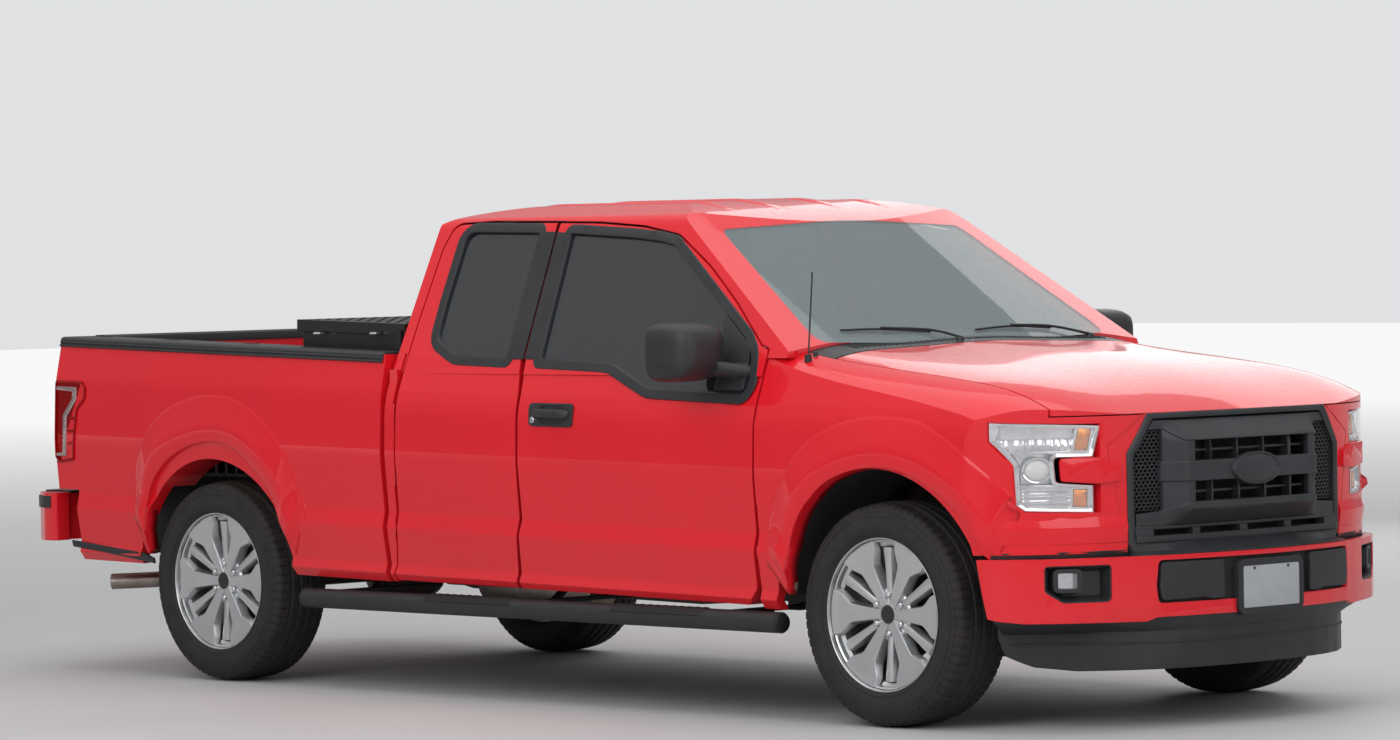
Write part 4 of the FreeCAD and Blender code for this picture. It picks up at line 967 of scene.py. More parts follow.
def hub_parts(bm, point):
    """Wheel nuts (0), the plain cap and the valve (1), and the collars round them (2)."""
    for i in range(6):
        heading = math.pi / 3 * (i + 0.5)
        stud(bm, point, 0.0675, heading, NUT, 18, 0, 0.07)
        stud(bm, point, 0.0675, heading, COLLAR, 20, 2)
    turned(bm, point, HUB_CAP, 72, 1, False)
    turned(bm, point, CAP_RING, 72, 2, False)
    stud(bm, point, 0.246, math.radians(232), VALVE, 12, 1)


class TRUCK_OT_wheels(bpy.types.Operator):
    """Tyres with tread, spoked alloy wheels, nuts and caps, and the spare"""

    bl_idname = "truck.wheels"
    bl_label = "Wheels and tyres"

    def execute(self, context):
        depth = sizes().tread_depth
        for end, side, sign in WHEELS:
            point = on_wheel((AXLES[end], sign * WHEEL_Y, AXLE_Z), sign)
            body = f"{end}_wheel_{side}"
            bm = bmesh.new()
            tyre(bm, point, depth)
            side_rings(bm, point)
            piece(f"tread_{end}_{side}", bm, "tyre", body, 35, (f"tyre_{end}_{side}",))
            bm = bmesh.new()
            wheel(bm, point)
            piece(f"spokes_{end}_{side}", bm, "alloy", body, 28, (f"wheel_{end}_{side}",))
            bm = bmesh.new()
            hub_parts(bm, point)
            piece(f"hub_{end}_{side}", bm, ("chrome", "trim", "alloy"), body, 30)
        low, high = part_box("spare_wheel")
        scale = min((high.x - low.x) / 2 / AXLE_Z, 1.0) * 0.93
        point = on_post((low + high) / 2, -1)
        bm = bmesh.new()
        tyre(bm, point, depth, scale)
        piece("spare_tyre", bm, "tyre", "truck", 35, ("spare_wheel",))
        bm = bmesh.new()
        turned(bm, point, [(radius * scale, reach) for radius, reach in SPARE_RIM])
        piece("spare_rim", bm, "steel", "truck")
        return {"FINISHED"}


# Wheel arches: (x, z) of the opening and of the line where the flare leaves the panel.

FRONT_OPENING = [
    (1.544, 0.457), (1.559, 0.596), (1.608, 0.711), (1.679, 0.794), (1.772, 0.86), (1.886, 0.899),
    (1.999, 0.914), (2.111, 0.907), (2.221, 0.877), (2.351, 0.808), (2.436, 0.731), (2.489, 0.654), (2.52, 0.56)
]
FRONT_FLARE = [
    (1.44, 0.56), (1.45, 0.69), (1.5, 0.812), (1.56, 0.905), (1.656, 1.0), (1.772, 1.055), (1.9, 1.086),
    (2.044, 1.094), (2.199, 1.08), (2.33, 1.027), (2.45, 0.95), (2.56, 0.85), (2.6, 0.76),
]
REAR_OPENING = [
    (-2.108, 0.497), (-2.104, 0.627), (-2.074, 0.746), (-2.002, 0.833), (-1.897, 0.899), (-1.759, 0.943),
    (-1.607, 0.951), (-1.492, 0.916), (-1.394, 0.844), (-1.314, 0.761), (-1.252, 0.648), (-1.191, 0.513),
]
REAR_FLARE = [
    (-2.19, 0.64), (-2.18, 0.8), (-2.13, 0.935), (-2.051, 1.029), (-1.915, 1.1), (-1.742, 1.137),
    (-1.58, 1.132), (-1.44, 1.088), (-1.33, 1.02), (-1.232, 0.92), (-1.16, 0.79), (-1.11, 0.68),
]


def resampled(points, count):
    """The run cut into equal parts by its length."""
    smooth = curve_through([(u, v, 0) for u, v in points], 0.01)
    lengths = [0.0]
    for a, b in zip(smooth, smooth[1:]):
        lengths.append(lengths[-1] + (b - a).length)
    out = []
    k = 0
    for i in range(count):
        goal = lengths[-1] * i / (count - 1)
        while k < len(lengths) - 2 and lengths[k + 1] < goal:
            k += 1
        span = lengths[k + 1] - lengths[k]
        t = (goal - lengths[k]) / span if span else 0
        p = smooth[k].lerp(smooth[k + 1], min(max(t, 0), 1))
        out.append((p.x, p.y))
    return out


def flare(bm, node, opening, crease, sign, proud=0.021):
    """Raised band round a wheel opening: it leaves the panel at the crease and ends in a lip at the opening."""
    count = 72
    inner = resampled(opening, count)
    outer = resampled(crease, count)
    profile = ((0.0, -0.004), (0.03, 0.0), (0.1, 0.006), (0.55, 0.9), (0.66, 1.0), (0.96, 1.0), (1.0, 0.86))
    rows = []
    for i, ((xa, za), (xo, zo)) in enumerate(zip(inner, outer)):
        fade = min(1.0, i / 5, (count - 1 - i) / 5)
        fade = fade * fade * (3 - 2 * fade)
        heights = []
        for s, _ in profile:
            x, z = xo + (xa - xo) * s, zo + (za - zo) * s
            hit = on_side((node,), x, z, sign)
            heights.append(None if hit is None or abs(hit.y) < 0.9 else abs(hit.y))
        known = [h for h in heights if h is not None]
        last = known[-1] if known else 0.99
        row = []
        y = last
        for (s, lift), h in zip(profile, heights):
            y = h if h is not None else y
            x, z = xo + (xa - xo) * s, zo + (za - zo) * s
            raise_by = proud * lift * fade if lift > 0 else lift
            row.append((x, sign * (y + raise_by), z))
        x, z = xa + (xa - xo) * 0.03, za + (za - zo) * 0.03
        row.append((x, sign * (last - 0.01), z))
        row.append((x, sign * (last - 0.045), z))
        rows.append(row)
    grid(bm, rows, wrap_rows=False)


class TRUCK_OT_arches(bpy.types.Operator):
    """Flares round the four wheel openings and the dark liners inside them"""

    bl_idname = "truck.arches"
    bl_label = "Wheel arches"

    def execute(self, context):
        for side, sign in SIDES:
            for end, node, opening, crease in (
                ("front", f"fender_{side}", FRONT_OPENING, FRONT_FLARE),
                ("rear", f"bed_side_{side}", REAR_OPENING, REAR_FLARE),
            ):
                bm = bmesh.new()
                flare(bm, node, opening, crease, sign)
                made = piece(f"flare_{end}_{side}", bm, "paint", "truck", 50, (), 0.002)
                made.modifiers["Sheet"].offset = 0
                bm = bmesh.new()
                inner = resampled(opening, 48)
                middle = Vector((sum(p[0] for p in inner) / 48, 0.62))
                rows = []
                room = 0.036 if end == "front" else 0.014
                for y, grow in ((0.975, 0.006), (0.925, room * 0.7), (0.86, room), (0.78, room),
                                (0.68, room * 0.8), (0.6, 0.016), (0.52, 0.014)):
                    row = []
                    for x, z in inner:
                        away = (Vector((x, z)) - middle).normalized() * grow
                        row.append((x + away.x, sign * y, z + away.y))
                    rows.append(row)
                grid(bm, rows, wrap_rows=False)
                piece(f"arch_liner_{end}_{side}", bm, "carpet", "truck", 40, (), 0.003)
        return {"FINISHED"}


# Nose, bumper and air dam stand upright on a plan curve of (u, x, |y|) points, u running outwards.

NOSE = [
    (0.0, 2.808, 0.0), (0.1, 2.806, 0.1), (0.2, 2.803, 0.2), (0.3, 2.8, 0.3), (0.4, 2.797, 0.4),
    (0.5, 2.788, 0.5), (0.6, 2.767, 0.6), (0.65, 2.752, 0.65), (0.7, 2.733, 0.7), (0.8, 2.683, 0.8),
    (0.9, 2.609, 0.9), (0.95, 2.553, 0.95), (0.98, 2.502, 0.98), (1.0, 2.47, 1.0)]
BUMPER = [
    (0.0, 2.937, 0.0), (0.1, 2.934, 0.1), (0.2, 2.923, 0.2), (0.3, 2.909, 0.3), (0.4, 2.89, 0.4),
    (0.5, 2.863, 0.5), (0.6, 2.825, 0.6), (0.7, 2.781, 0.7), (0.8, 2.732, 0.8), (0.9, 2.658, 0.9),
    (0.95, 2.6, 0.95), (0.98, 2.55, 0.98), (1.04, 2.494, 1.001), (1.07, 2.466, 1.003)]
DAM = [
    (0.0, 2.902, 0.0), (0.15, 2.897, 0.15), (0.3, 2.88, 0.3), (0.4, 2.857, 0.4), (0.5, 2.818, 0.5),
    (0.6, 2.752, 0.6), (0.65, 2.706, 0.65), (0.75, 2.606, 0.75), (0.83, 2.516, 0.832), (0.88, 2.462, 0.868),
    (0.92, 2.432, 0.882)]


def between(table, value, column=1):
    """The table's number in the column at the value of its first."""
    for low, high in zip(table, table[1:]):
        if value <= high[0]:
            return low[column] + (high[column] - low[column]) * (value - low[0]) / (high[0] - low[0])
    return table[-1][column]


def facing(curve, sign=1):
    """Surface of a plan curve: u across from the middle, v up, w outwards."""

    def place(u, v, w):
        reach = min(abs(u), curve[-1][0])
        near, far = max(reach - 0.02, 0.0), min(reach + 0.02, curve[-1][0])
        ahead = Vector(between(curve, far, c) - between(curve, near, c) for c in (1, 2))
        out = Vector((ahead.y, -ahead.x)).normalized()
        side = sign if u >= 0 else -sign
        return Vector((between(curve, reach) + out.x * w, side * (between(curve, reach, 2) + out.y * w), v))

    return place


def flank(profile, sign):
    """Surface of the truck's side: u along, v up, w outwards from the (z, |y|) profile."""

    def place(u, v, w):
        return Vector((u, sign * (between(profile, v) + w), v))

    return place


def shrunk(outline, by):
    """The outline pulled in by a distance."""
    points = [Vector(p[:2]) for p in outline]
    area = sum(a.x * b.y - b.x * a.y for a, b in zip(points, points[1:] + points[:1]))
    side = 1 if area > 0 else -1
    out = []
    for i, here in enumerate(points):
        before = (here - points[i - 1]).normalized()
        after = (points[(i + 1) % len(points)] - here).normalized()
        normal = Vector((-(before.y + after.y), before.x + after.x)) * side
        length = normal.length or 1.0
        out.append(here + normal / length * min(2 * by / length, 3 * by))
    return [(p.x, p.y) for p in out]


def slab(bm, surface, outline, low, high, index=0, edge=0.0, step=0.03, both=False, holes=()):
    """A plate of the outline bent onto the surface, between two depths, with its outer edges rounded."""
    start = len(bm.faces)
    flat = bmesh.new()
    for loop in (outline, *holes):
        verts = [flat.verts.new((u, v, low)) for u, v in loop]
        for i, vert in enumerate(verts):
            flat.edges.new((verts[i - 1], vert))
    bmesh.ops.triangle_fill(flat, use_beauty=True, edges=flat.edges[:])
    raised = bmesh.ops.extrude_face_region(flat, geom=flat.faces[:], use_keep_orig=True)
    top = {item for item in raised["geom"] if isinstance(item, bmesh.types.BMVert)}
    for vert in top:
        vert.co.z = high
    flat.normal_update()
    if edge:
        rim = [e for e in flat.edges
               if set(e.verts) <= top and len(e.link_faces) == 2 and e.calc_face_angle(0) > 1]
        bmesh.ops.bevel(
            flat, geom=rim, offset=edge, segments=3, profile=0.5, affect="EDGES", clamp_overlap=True)
    for axis in (0, 1) if both else (0,):
        values = [p[axis] for p in outline]
        for k in range(math.ceil(min(values) / step), math.floor(max(values) / step) + 1):
            at, normal = [0.0, 0.0, 0.0], [0.0, 0.0, 0.0]
            at[axis], normal[axis] = k * step, 1.0
            every = flat.verts[:] + flat.edges[:] + flat.faces[:]
            bmesh.ops.bisect_plane(flat, geom=every, dist=1e-5, plane_co=at, plane_no=normal)
    for vert in flat.verts:
        vert.co = surface(*vert.co)
    held = bpy.data.meshes.new("held")
    flat.to_mesh(held)
    flat.free()
    bm.from_mesh(held)
    bpy.data.meshes.remove(held)
    set_finish(bm, start, index)


def hoop(bm, surface, layers, index=0, step=0.03):
    """A closed band through (outline, depth) layers with equal corner counts."""
    first = layers[0][0]
    counts = []
    for i in range(len(first)):
        reach = max((Vector(o[(i + 1) % len(o)]) - Vector(o[i])).length for o, _ in layers)
        counts.append(max(1, math.ceil(reach / step)))
    rows = []
    for outline, depth in layers:
        row = []
        for i, count in enumerate(counts):
            a, b = Vector(outline[i]), Vector(outline[(i + 1) % len(outline)])
            for k in range(count):
                p = a.lerp(b, k / count)
                row.append(surface(p.x, p.y, depth))
        rows.append(row)
    grid(bm, rows, index, True, True)


def layered(bm, surface, outline, layers, index=0, step=0.03):
    """A closed band round an outline: (inset, depth) layers, each pulled in from the outline by its inset."""
    hoop(bm, surface, [(shrunk(outline, inset), depth) for inset, depth in layers], index, step)


def moulding(bm, surface, profile, start, stop, index=0, step=0.03):
    """A closed (v, w) profile drawn along u."""
    count = max(1, math.ceil(abs(stop - start) / step))
    loops = []
    for k in range(count + 1):
        u = start + (stop - start) * k / count
        loops.append([surface(u, v, w) for v, w in profile])
    rings(bm, loops, index)


def dome(bm, surface, centre, radii, index=0, sides=28, squash=1.0):
    """Concentric rings about a centre: (radius, depth) pairs, capped at both ends."""
    loops = [
        [
            surface(centre[0] + r * math.cos(a), centre[1] + r * squash * math.sin(a), w)
            for a in circle(sides)
        ]
        for r, w in radii
    ]
    rings(bm, loops, index)


GRILLE_RIM = [(-0.47, 1.09), (0.47, 1.09), (0.56, 0.955), (0.558, 0.645), (-0.558, 0.645), (-0.56, 0.955)]
GRILLE_HOLE = [
    (-0.446, 1.072), (0.446, 1.072), (0.534, 0.948), (0.532, 0.664), (-0.532, 0.664), (-0.534, 0.948)]
GRILLE_STEP = 0.0133


def swollen(surface, reach=0.066):
    """The grille's middle stands forward of the nose, with slanted sides and a slanted brow and chin."""

    def place(u, v, w):
        side = min(max((0.412 - abs(u)) / 0.075, 0.0), 1.0)
        brow = min(max((1.066 - v) / 0.066, 0.0), 1.0)
        chin = min(max((v - 0.69) / 0.07, 0.0), 1.0)
        return surface(u, v, w + reach * side * min(brow, chin))

    return place


def six_sided(bm, surface, low, high, pitch, inside):
    """Upright mesh of six-sided holes over the area where inside holds."""
    half, tall = pitch * 0.5, pitch * 0.62
    row = 0
    v = low[1]
    while v < high[1]:
        u = low[0] + (half if row % 2 else 0)
        while u < high[0]:
            if inside(u, v):
                turn = [math.radians(a) for a in (90, 150, 210, 270, 330, 30)]
                outer = [(u + half * 1.12 * math.cos(a), v + half * 0.86 * math.sin(a)) for a in turn]
                inner = [(u + half * 0.86 * math.cos(a), v + half * 0.6 * math.sin(a)) for a in turn]
                hoop(bm, surface, [(outer, -0.022), (outer, -0.01), (inner, -0.01), (inner, -0.022)], 0, 0.05)
            u += pitch
        v += tall
        row += 1


LAMP = [
    (0.974, 1.074), (0.661, 1.058), (0.69, 0.948), (0.816, 0.949, 0.012), (0.811, 0.865, 0.012), (0.689, 0.853),
    (0.689, 0.757), (0.899, 0.766, 0.01), (0.921, 0.787, 0.01), (0.926, 0.925, 0.03), (0.974, 1.008, 0.02),
]


def reflector(bm, surface, low, high, deep, flutes, index, upright=True):
    """A fluted bowl between two corners, deepest in its middle."""
    across, up = 64, 20
    if not upright:
        across, up = 40, 28
    rows = []
    for i in range(up + 1):
        t = i / up
        row = []
        for k in range(across + 1):
            s = k / across
            bowl = 1 - ((2 * s - 1) ** 2 * 0.55 + (2 * t - 1) ** 2 * 0.45)
            run = s if upright else t
            ripple = 0.0035 * abs(math.sin(math.pi * flutes * run))
            w = -0.018 - deep * bowl + ripple
            row.append(surface(low[0] + (high[0] - low[0]) * s, low[1] + (high[1] - low[1]) * t, w))
        rows.append(row)
    grid(bm, rows, index, False)


def headlamp(bm, surface):
    """Bowl, chromed border, ribbed reflectors, projector and amber corners behind a clear cover."""
    outline = rounded(LAMP, 3)
    border = [(0.001, -0.03), (0.001, -0.006), (0.004, -0.004), (0.013, -0.007), (0.016, -0.016),
              (0.016, -0.03)]
    layered(bm, surface, outline, border, 1)
    layered(bm, surface, outline, [(0.001, -0.075), (0.001, -0.028), (0.016, -0.028), (0.016, -0.075)])
    slab(bm, surface, shrunk(outline, 0.001), -0.08, -0.074)
    reflector(bm, surface, (0.748, 0.972), (0.958, 1.058), 0.04, 9, 0)
    reflector(bm, surface, (0.757, 0.774), (0.908, 0.846), 0.036, 4, 0, False)
    slab(bm, surface, [(0.918, 0.962), (0.7, 0.962), (0.7, 0.972), (0.95, 0.972)], -0.05, -0.012, 1, 0.002)
    slab(bm, surface, [(0.914, 0.848), (0.7, 0.842), (0.7, 0.852), (0.914, 0.858)], -0.05, -0.012, 1, 0.002)
    dome(bm, surface, (0.862, 0.907), [(0.044, -0.07), (0.046, -0.02), (0.044, -0.015), (0.038, -0.017),
                                       (0.036, -0.03)], 1)
    dome(bm, surface, (0.862, 0.907), [(0.036, -0.05), (0.036, -0.026), (0.032, -0.018), (0.022, -0.011),
                                       (0.01, -0.008)], 3)
    for corners in (
        [(0.733, 1.048), (0.692, 1.046), (0.708, 0.974), (0.748, 0.976)],
        [(0.752, 0.838), (0.709, 0.837), (0.711, 0.778), (0.755, 0.782)],
    ):
        slab(bm, surface, corners, -0.05, -0.009, 2, 0.003)
        layered(bm, surface, corners, [(-0.005, -0.06), (-0.005, -0.01), (-0.001, -0.01), (-0.001, -0.06)], 1)


class TRUCK_OT_front(bpy.types.Operator):
    """Grille, headlamps, and the fog lamps, covers and blank plate of the front bumper"""

    bl_idname = "truck.front"
    bl_label = "Nose and front bumper"

    def execute(self, context):
        nose, front = facing(NOSE), facing(BUMPER)
        middle = swollen(nose)
        bm = bmesh.new()
        hoop(bm, nose, [(GRILLE_RIM, -0.06), (shrunk(GRILLE_RIM, -0.001), 0.002),
                        (shrunk(GRILLE_RIM, 0.004), 0.006), (shrunk(GRILLE_HOLE, -0.004), 0.006),
                        (GRILLE_HOLE, 0.001), (GRILLE_HOLE, -0.06)])
        top = [(-0.444, 1.066), (0.444, 1.066), (0.468, 1.034), (0.4, 1.034), (0.345, 0.994), (-0.345, 0.994),
               (-0.4, 1.034), (-0.468, 1.034)]
        slab(bm, middle, top, -0.028, 0.002, 0, 0.004, GRILLE_STEP, True)
        slab(bm, middle, oblong(-0.412, 0.852, 0.412, 0.924), -0.028, 0.004, 0, 0.007, GRILLE_STEP, True)
        chin = [(-0.526, 0.7), (0.526, 0.7), (0.526, 0.745), (0.412, 0.752), (0.335, 0.782), (-0.335, 0.782),
                (-0.412, 0.752), (-0.526, 0.745)]
        slab(bm, middle, chin, -0.028, 0.003, 0, 0.006, GRILLE_STEP, True)
        for side in (-1, 1):
            post = oblong(side * 0.3, 0.752, side * 0.404, 1.04)
            slab(bm, middle, post, -0.026, -0.004, 0, 0.002, GRILLE_STEP, True)
            for y in (0.069, 0.207):
                slab(bm, middle, oblong(side * (y - 0.004), 0.76, side * (y + 0.004), 1.01), -0.05, -0.012)
            six_sided(bm, nose, (0.406, 0.762) if side > 0 else (-0.535, 0.762),
                      (0.535, 1.036) if side > 0 else (-0.404, 1.036), sizes().mesh_pitch,
                      lambda u, v: abs(u) < 0.525 and abs(u) + (v - 0.948) * 0.68 < 0.53)
        for z in (0.815, 0.958):
            slab(bm, middle, oblong(-0.33, z - 0.004, 0.33, z + 0.004), -0.06, -0.035)
        slots = ((-0.455, -0.262), (-0.225, -0.02), (0.02, 0.225), (0.262, 0.455))
        edges = [-0.532] + [v for pair in slots for v in pair] + [0.532]
        for a, b in zip(edges[::2], edges[1::2]):
            slab(bm, nose, oblong(a, 0.664, b, 0.69), -0.03, 0.01, 0, 0.002)
        for low, high, out in ((0.645, 0.668, 0.016), (0.688, 0.702, 0.004)):
            slab(bm, nose, oblong(-0.532, low, 0.532, high), -0.03, out, 0, 0.004)
        dome(bm, middle, (0.0, 0.887), [(0.126, -0.004), (0.126, 0.01), (0.121, 0.017), (0.112, 0.017),
             (0.108, 0.013), (0.09, 0.017), (0.05, 0.0205), (0.015, 0.022)], 0, 48, 0.46)
        slab(bm, nose, GRILLE_HOLE, -0.072, -0.062, 1)
        shelf = []
        for u in along(-0.56, 1.12, 40):
            shelf.append([nose(u, 0.652, 0.004), front(u, 0.616, -0.06), front(u, 0.607, -0.022),
                          front(u, 0.598, -0.018), nose(u, 0.6, -0.03), nose(u, 0.652, -0.03)])
        rings(bm, shelf)
        piece("grille_bars", bm, ("grille", "rubber"), "truck", 35, ("grille",))

        bowls = bmesh.new()
        covers = bmesh.new()
        ridges = bmesh.new()
        for side, sign in SIDES:
            surface = facing(NOSE, sign)
            headlamp(bowls, surface)
            slab(covers, surface, shrunk(rounded(LAMP, 3), 0.0015), -0.0035, 0.0005, 0, 0.001)
            bar = [(0.803, 0.947), (0.666, 0.944), (0.594, 0.922), (0.586, 0.864), (0.672, 0.858), (0.8, 0.868)]
            slab(ridges, surface, even(bar, 0.012), -0.004, 0.012, 0, 0.009)
            fill = [(0.479, 1.0905), (0.6385, 0.986), (0.566, 0.622), (0.559, 0.645), (0.561, 0.955),
                    (0.471, 1.09)]
            slab(ridges, surface, fill, -0.03, -0.0004)
            moulding(ridges, surface, [(0.752, -0.002), (0.712, 0.01), (0.702, 0.011), (0.652, 0.003),
                     (0.648, -0.004), (0.7, -0.006)], 0.566, 0.972)
        piece("headlamp_bowls", bowls, ("silver", "chrome", "amber", "bulb"), "truck", 30,
              ("headlights",))
        piece("headlamp_covers", covers, "lens", "truck", 30)
        piece("nose_ridges", ridges, "paint", "truck", 40)

        self.bumper(front)
        return {"FINISHED"}

    def bumper(self, front):
        """Painted skin with its openings, what fills them, the blank plate and the air dam."""
        mouths = {}
        for side, sign in SIDES:
            corners = [(0.668, 0.452, 0.02), (0.826, 0.452, 0.03), (0.878, 0.492, 0.02), (0.878, 0.58, 0.014),
                       (0.668, 0.58, 0.014)]
            mouths[side] = rounded([(sign * u, v, r) for u, v, r in corners], 4)
        hollow = [(-0.503, 0.44), (0.503, 0.44), (0.51, 0.5), (0.501, 0.588), (-0.501, 0.588), (-0.51, 0.5)]
        hollow = even(hollow, 0.018, 4)
        skin = [(-1.064, 0.604), (-1.02, 0.4), (-0.93, 0.384), (-0.545, 0.379), (-0.508, 0.392), (0.508, 0.392),
                (0.545, 0.379), (0.93, 0.384), (1.02, 0.4), (1.064, 0.604)]
        bm = bmesh.new()
        slab(bm, front, even(skin, 0.006), -0.035, 0.0, 0, 0.011, 0.02, False, (hollow, *mouths.values()))
        piece("bumper_skin", bm, "paint", "truck", 40, ("front_bumper",))

        trims = bmesh.new()
        slab(trims, front, shrunk(hollow, -0.006), -0.034, -0.016, 1)
        for side in (-1, 1):
            cover = [(side * 0.226, 0.449, 0.012), (side * 0.28, 0.446, 0.01), (side * 0.318, 0.454, 0.01),
                     (side * 0.492, 0.449, 0.02), (side * 0.499, 0.5, 0.02), (side * 0.491, 0.58, 0.014),
                     (side * 0.23, 0.58, 0.014)]
            slab(trims, front, rounded(cover, 4), -0.024, 0.004, 0, 0.01)
        for side, sign in SIDES:
            surface = facing(NOSE, sign)
            moulding(trims, surface, [(0.598, -0.05), (0.598, -0.004), (0.624, 0.002), (0.64, -0.012),
                     (0.64, -0.05)], 0.56, 0.975, 0)
        piece("bumper_covers", trims, ("trim", "rubber"))

        bm = bmesh.new()
        dam = facing(DAM)
        wall = [(-0.9, 0.385), (-0.9, 0.325), (-0.87, 0.262), (-0.8, 0.224), (-0.7, 0.209), (0.7, 0.209),
                (0.8, 0.224), (0.87, 0.262), (0.9, 0.325), (0.9, 0.385)]
        slab(bm, dam, wall, -0.012, 0.0, 0, 0.004, 0.02)
        slab(bm, dam, oblong(-0.86, 0.3, 0.86, 0.306), -0.006, 0.004, 0, 0.0015, 0.02)
        apron = []
        for u in along(-1.0, 2.0, 60):
            inner = u * 0.88
            apron.append([front(u, 0.402, -0.008), front(u, 0.384, -0.014), dam(inner, 0.345, 0.003),
                          dam(inner, 0.335, -0.01), front(u, 0.38, -0.05), front(u, 0.402, -0.05)])
        rings(bm, apron)
        piece("air_dam_skin", bm, "trim", "truck", 35, ("air_dam",))

        plate = bmesh.new()
        upright = facing_x(2.9425, 1)
        outline = oblong(-0.152, 0.402, 0.152, 0.554, 0.012)
        slab(plate, upright, outline, -0.022, -0.002, 0, 0.0006, 0.2)
        layered(plate, upright, outline, [(-0.007, -0.04), (-0.007, -0.002), (-0.002, 0.0), (0.003, -0.001),
                (0.003, -0.04)], 1, 0.2)
        for u in (-0.09, 0.09):
            dome(plate, upright, (u, 0.542), [(0.006, -0.02), (0.006, -0.0012), (0.003, -0.0004)], 1, 12)
        piece("blank_plate", plate, ("plate", "trim"))

        for side, sign in SIDES:
            surface = facing(BUMPER, sign)
            bm = bmesh.new()
            mouth = [(abs(u), v) for u, v in mouths[side]]
            funnel = [(0.0005, -0.004), (0.004, -0.006), (0.022, -0.05), (0.022, -0.054), (0.0005, -0.02)]
            layered(bm, surface, mouth, funnel)
            slab(bm, surface, shrunk(mouth, 0.015), -0.058, -0.048)
            eye = oblong(0.77, 0.493, 0.846, 0.563, 0.012)
            layered(bm, surface, eye, [(-0.004, -0.05), (-0.002, -0.008), (0.007, -0.008), (0.009, -0.02),
                    (0.004, -0.05)], 0)
            slab(bm, surface, shrunk(eye, 0.006), -0.048, -0.04, 1)
            dome(bm, surface, (0.808, 0.528), [(0.02, -0.045), (0.017, -0.032), (0.011, -0.026),
                 (0.004, -0.024)], 2, 18)
            slab(bm, surface, shrunk(eye, 0.008), -0.016, -0.013, 2, 0.001)
            piece(f"fog_lamp_{side}", bm, ("trim", "silver", "lens"), "truck")
        return {"FINISHED"}


# Sides: window seals, pillar trims, mirrors, handles, steps, wipers, cowl and roof ribs.

FLANK = [
    (0.4, 0.97), (0.45, 0.982), (0.5, 0.984), (0.6, 0.999), (0.65, 1.0), (0.7, 0.992), (0.75, 0.997),
    (0.8, 1.001), (0.9, 1.009), (1.0, 1.007), (1.1, 1.002), (1.15, 0.99), (1.2, 0.972), (1.25, 0.95),
    (1.3, 0.932), (1.4, 0.89), (1.5, 0.848), (1.6, 0.806), (1.75, 0.743), (1.8, 0.72)]
FRONT_WINDOW = [
    (0.19, 1.279, 0.008), (0.537, 1.268, 0.5), (0.595, 1.262, 0.09), (0.82, 1.176, 0.16), (1.318, 1.158, 0.03),
    (1.346, 1.197, 0.045), (1.319, 1.305, 0.12), (1.269, 1.359, 0.26), (0.752, 1.701, 0.06),
    (0.664, 1.717, 0.2), (0.518, 1.731, 0.6), (0.212, 1.748, 0.9), (0.16, 1.75, 0.008)]
REAR_WINDOW = [
    (0.012, 1.281, 0.008), (-0.282, 1.29, 0.16), (-0.43, 1.352, 0.06), (-0.436, 1.5, 0.9),
    (-0.432, 1.738, 0.04), (-0.397, 1.762, 0.06), (-0.01, 1.755, 0.008)]
PILLAR_STRIPS = {
    "front": [(0.1095, 1.281), (0.182, 1.281), (0.152, 1.751), (0.0885, 1.754), (0.099, 1.52)],
    "rear": [(0.014, 1.281), (0.0985, 1.281), (0.088, 1.52), (0.0775, 1.756), (-0.012, 1.756)],
}


MIRROR_ARM = (
    # x, |y|, z, half sizes along x and z
    (1.275, 0.935, 1.238, 0.07, 0.034), (1.262, 0.97, 1.243, 0.062, 0.03), (1.238, 1.01, 1.252, 0.054, 0.028),
    (1.215, 1.05, 1.262, 0.05, 0.03),
)
STEP_Y = 0.975
STEP_Z = 0.35
STEP_CAP = ((0.036, -0.01), (0.0385, -0.006), (0.0385, 0.0), (0.034, 0.008), (0.02, 0.013))


def skinned(nodes, sign):
    """Surface of the truck's side that never sinks below the nodes' own faces."""

    def place(u, v, w):
        reach = between(FLANK, v)
        hit = on_side(nodes, u, v, sign)
        if hit is not None:
            reach = max(reach, abs(hit.y))
        return Vector((u, sign * (reach + w), v))

    return place


def rib(bm, surface, path, width, proud, index=0, sink=0.004, step=0.04):
    """A raised strip with a rounded back along a path of (u, v) points on the surface."""
    points = dense([(*p, 0) for p in path], step)
    loops = []
    for i, here in enumerate(points):
        ahead = points[min(i + 1, len(points) - 1)] - points[max(i - 1, 0)]
        normal = Vector((-ahead.y, ahead.x)).normalized() * width / 2
        section = [(-1, -sink), (-1, proud * 0.5), (-0.6, proud), (0.6, proud), (1, proud * 0.5), (1, -sink)]
        loops.append([surface(here.x + normal.x * s, here.y + normal.y * s, w) for s, w in section])
    rings(bm, loops, index)


def pod(bm, sections, index, turns, power=4.0):
    """A rounded housing through upright sections: (x, y, z, half width across y, half height)."""
    loops = []
    for x, y, z, half_y, half_z in sections:
        loop = []
        for a in circle(turns):
            c, s = math.cos(a), math.sin(a)
            loop.append((x, y + half_y * math.copysign(abs(c) ** (2 / power), c),
                         z + half_z * math.copysign(abs(s) ** (2 / power), s)))
        loops.append(loop)
    rings(bm, loops, index)


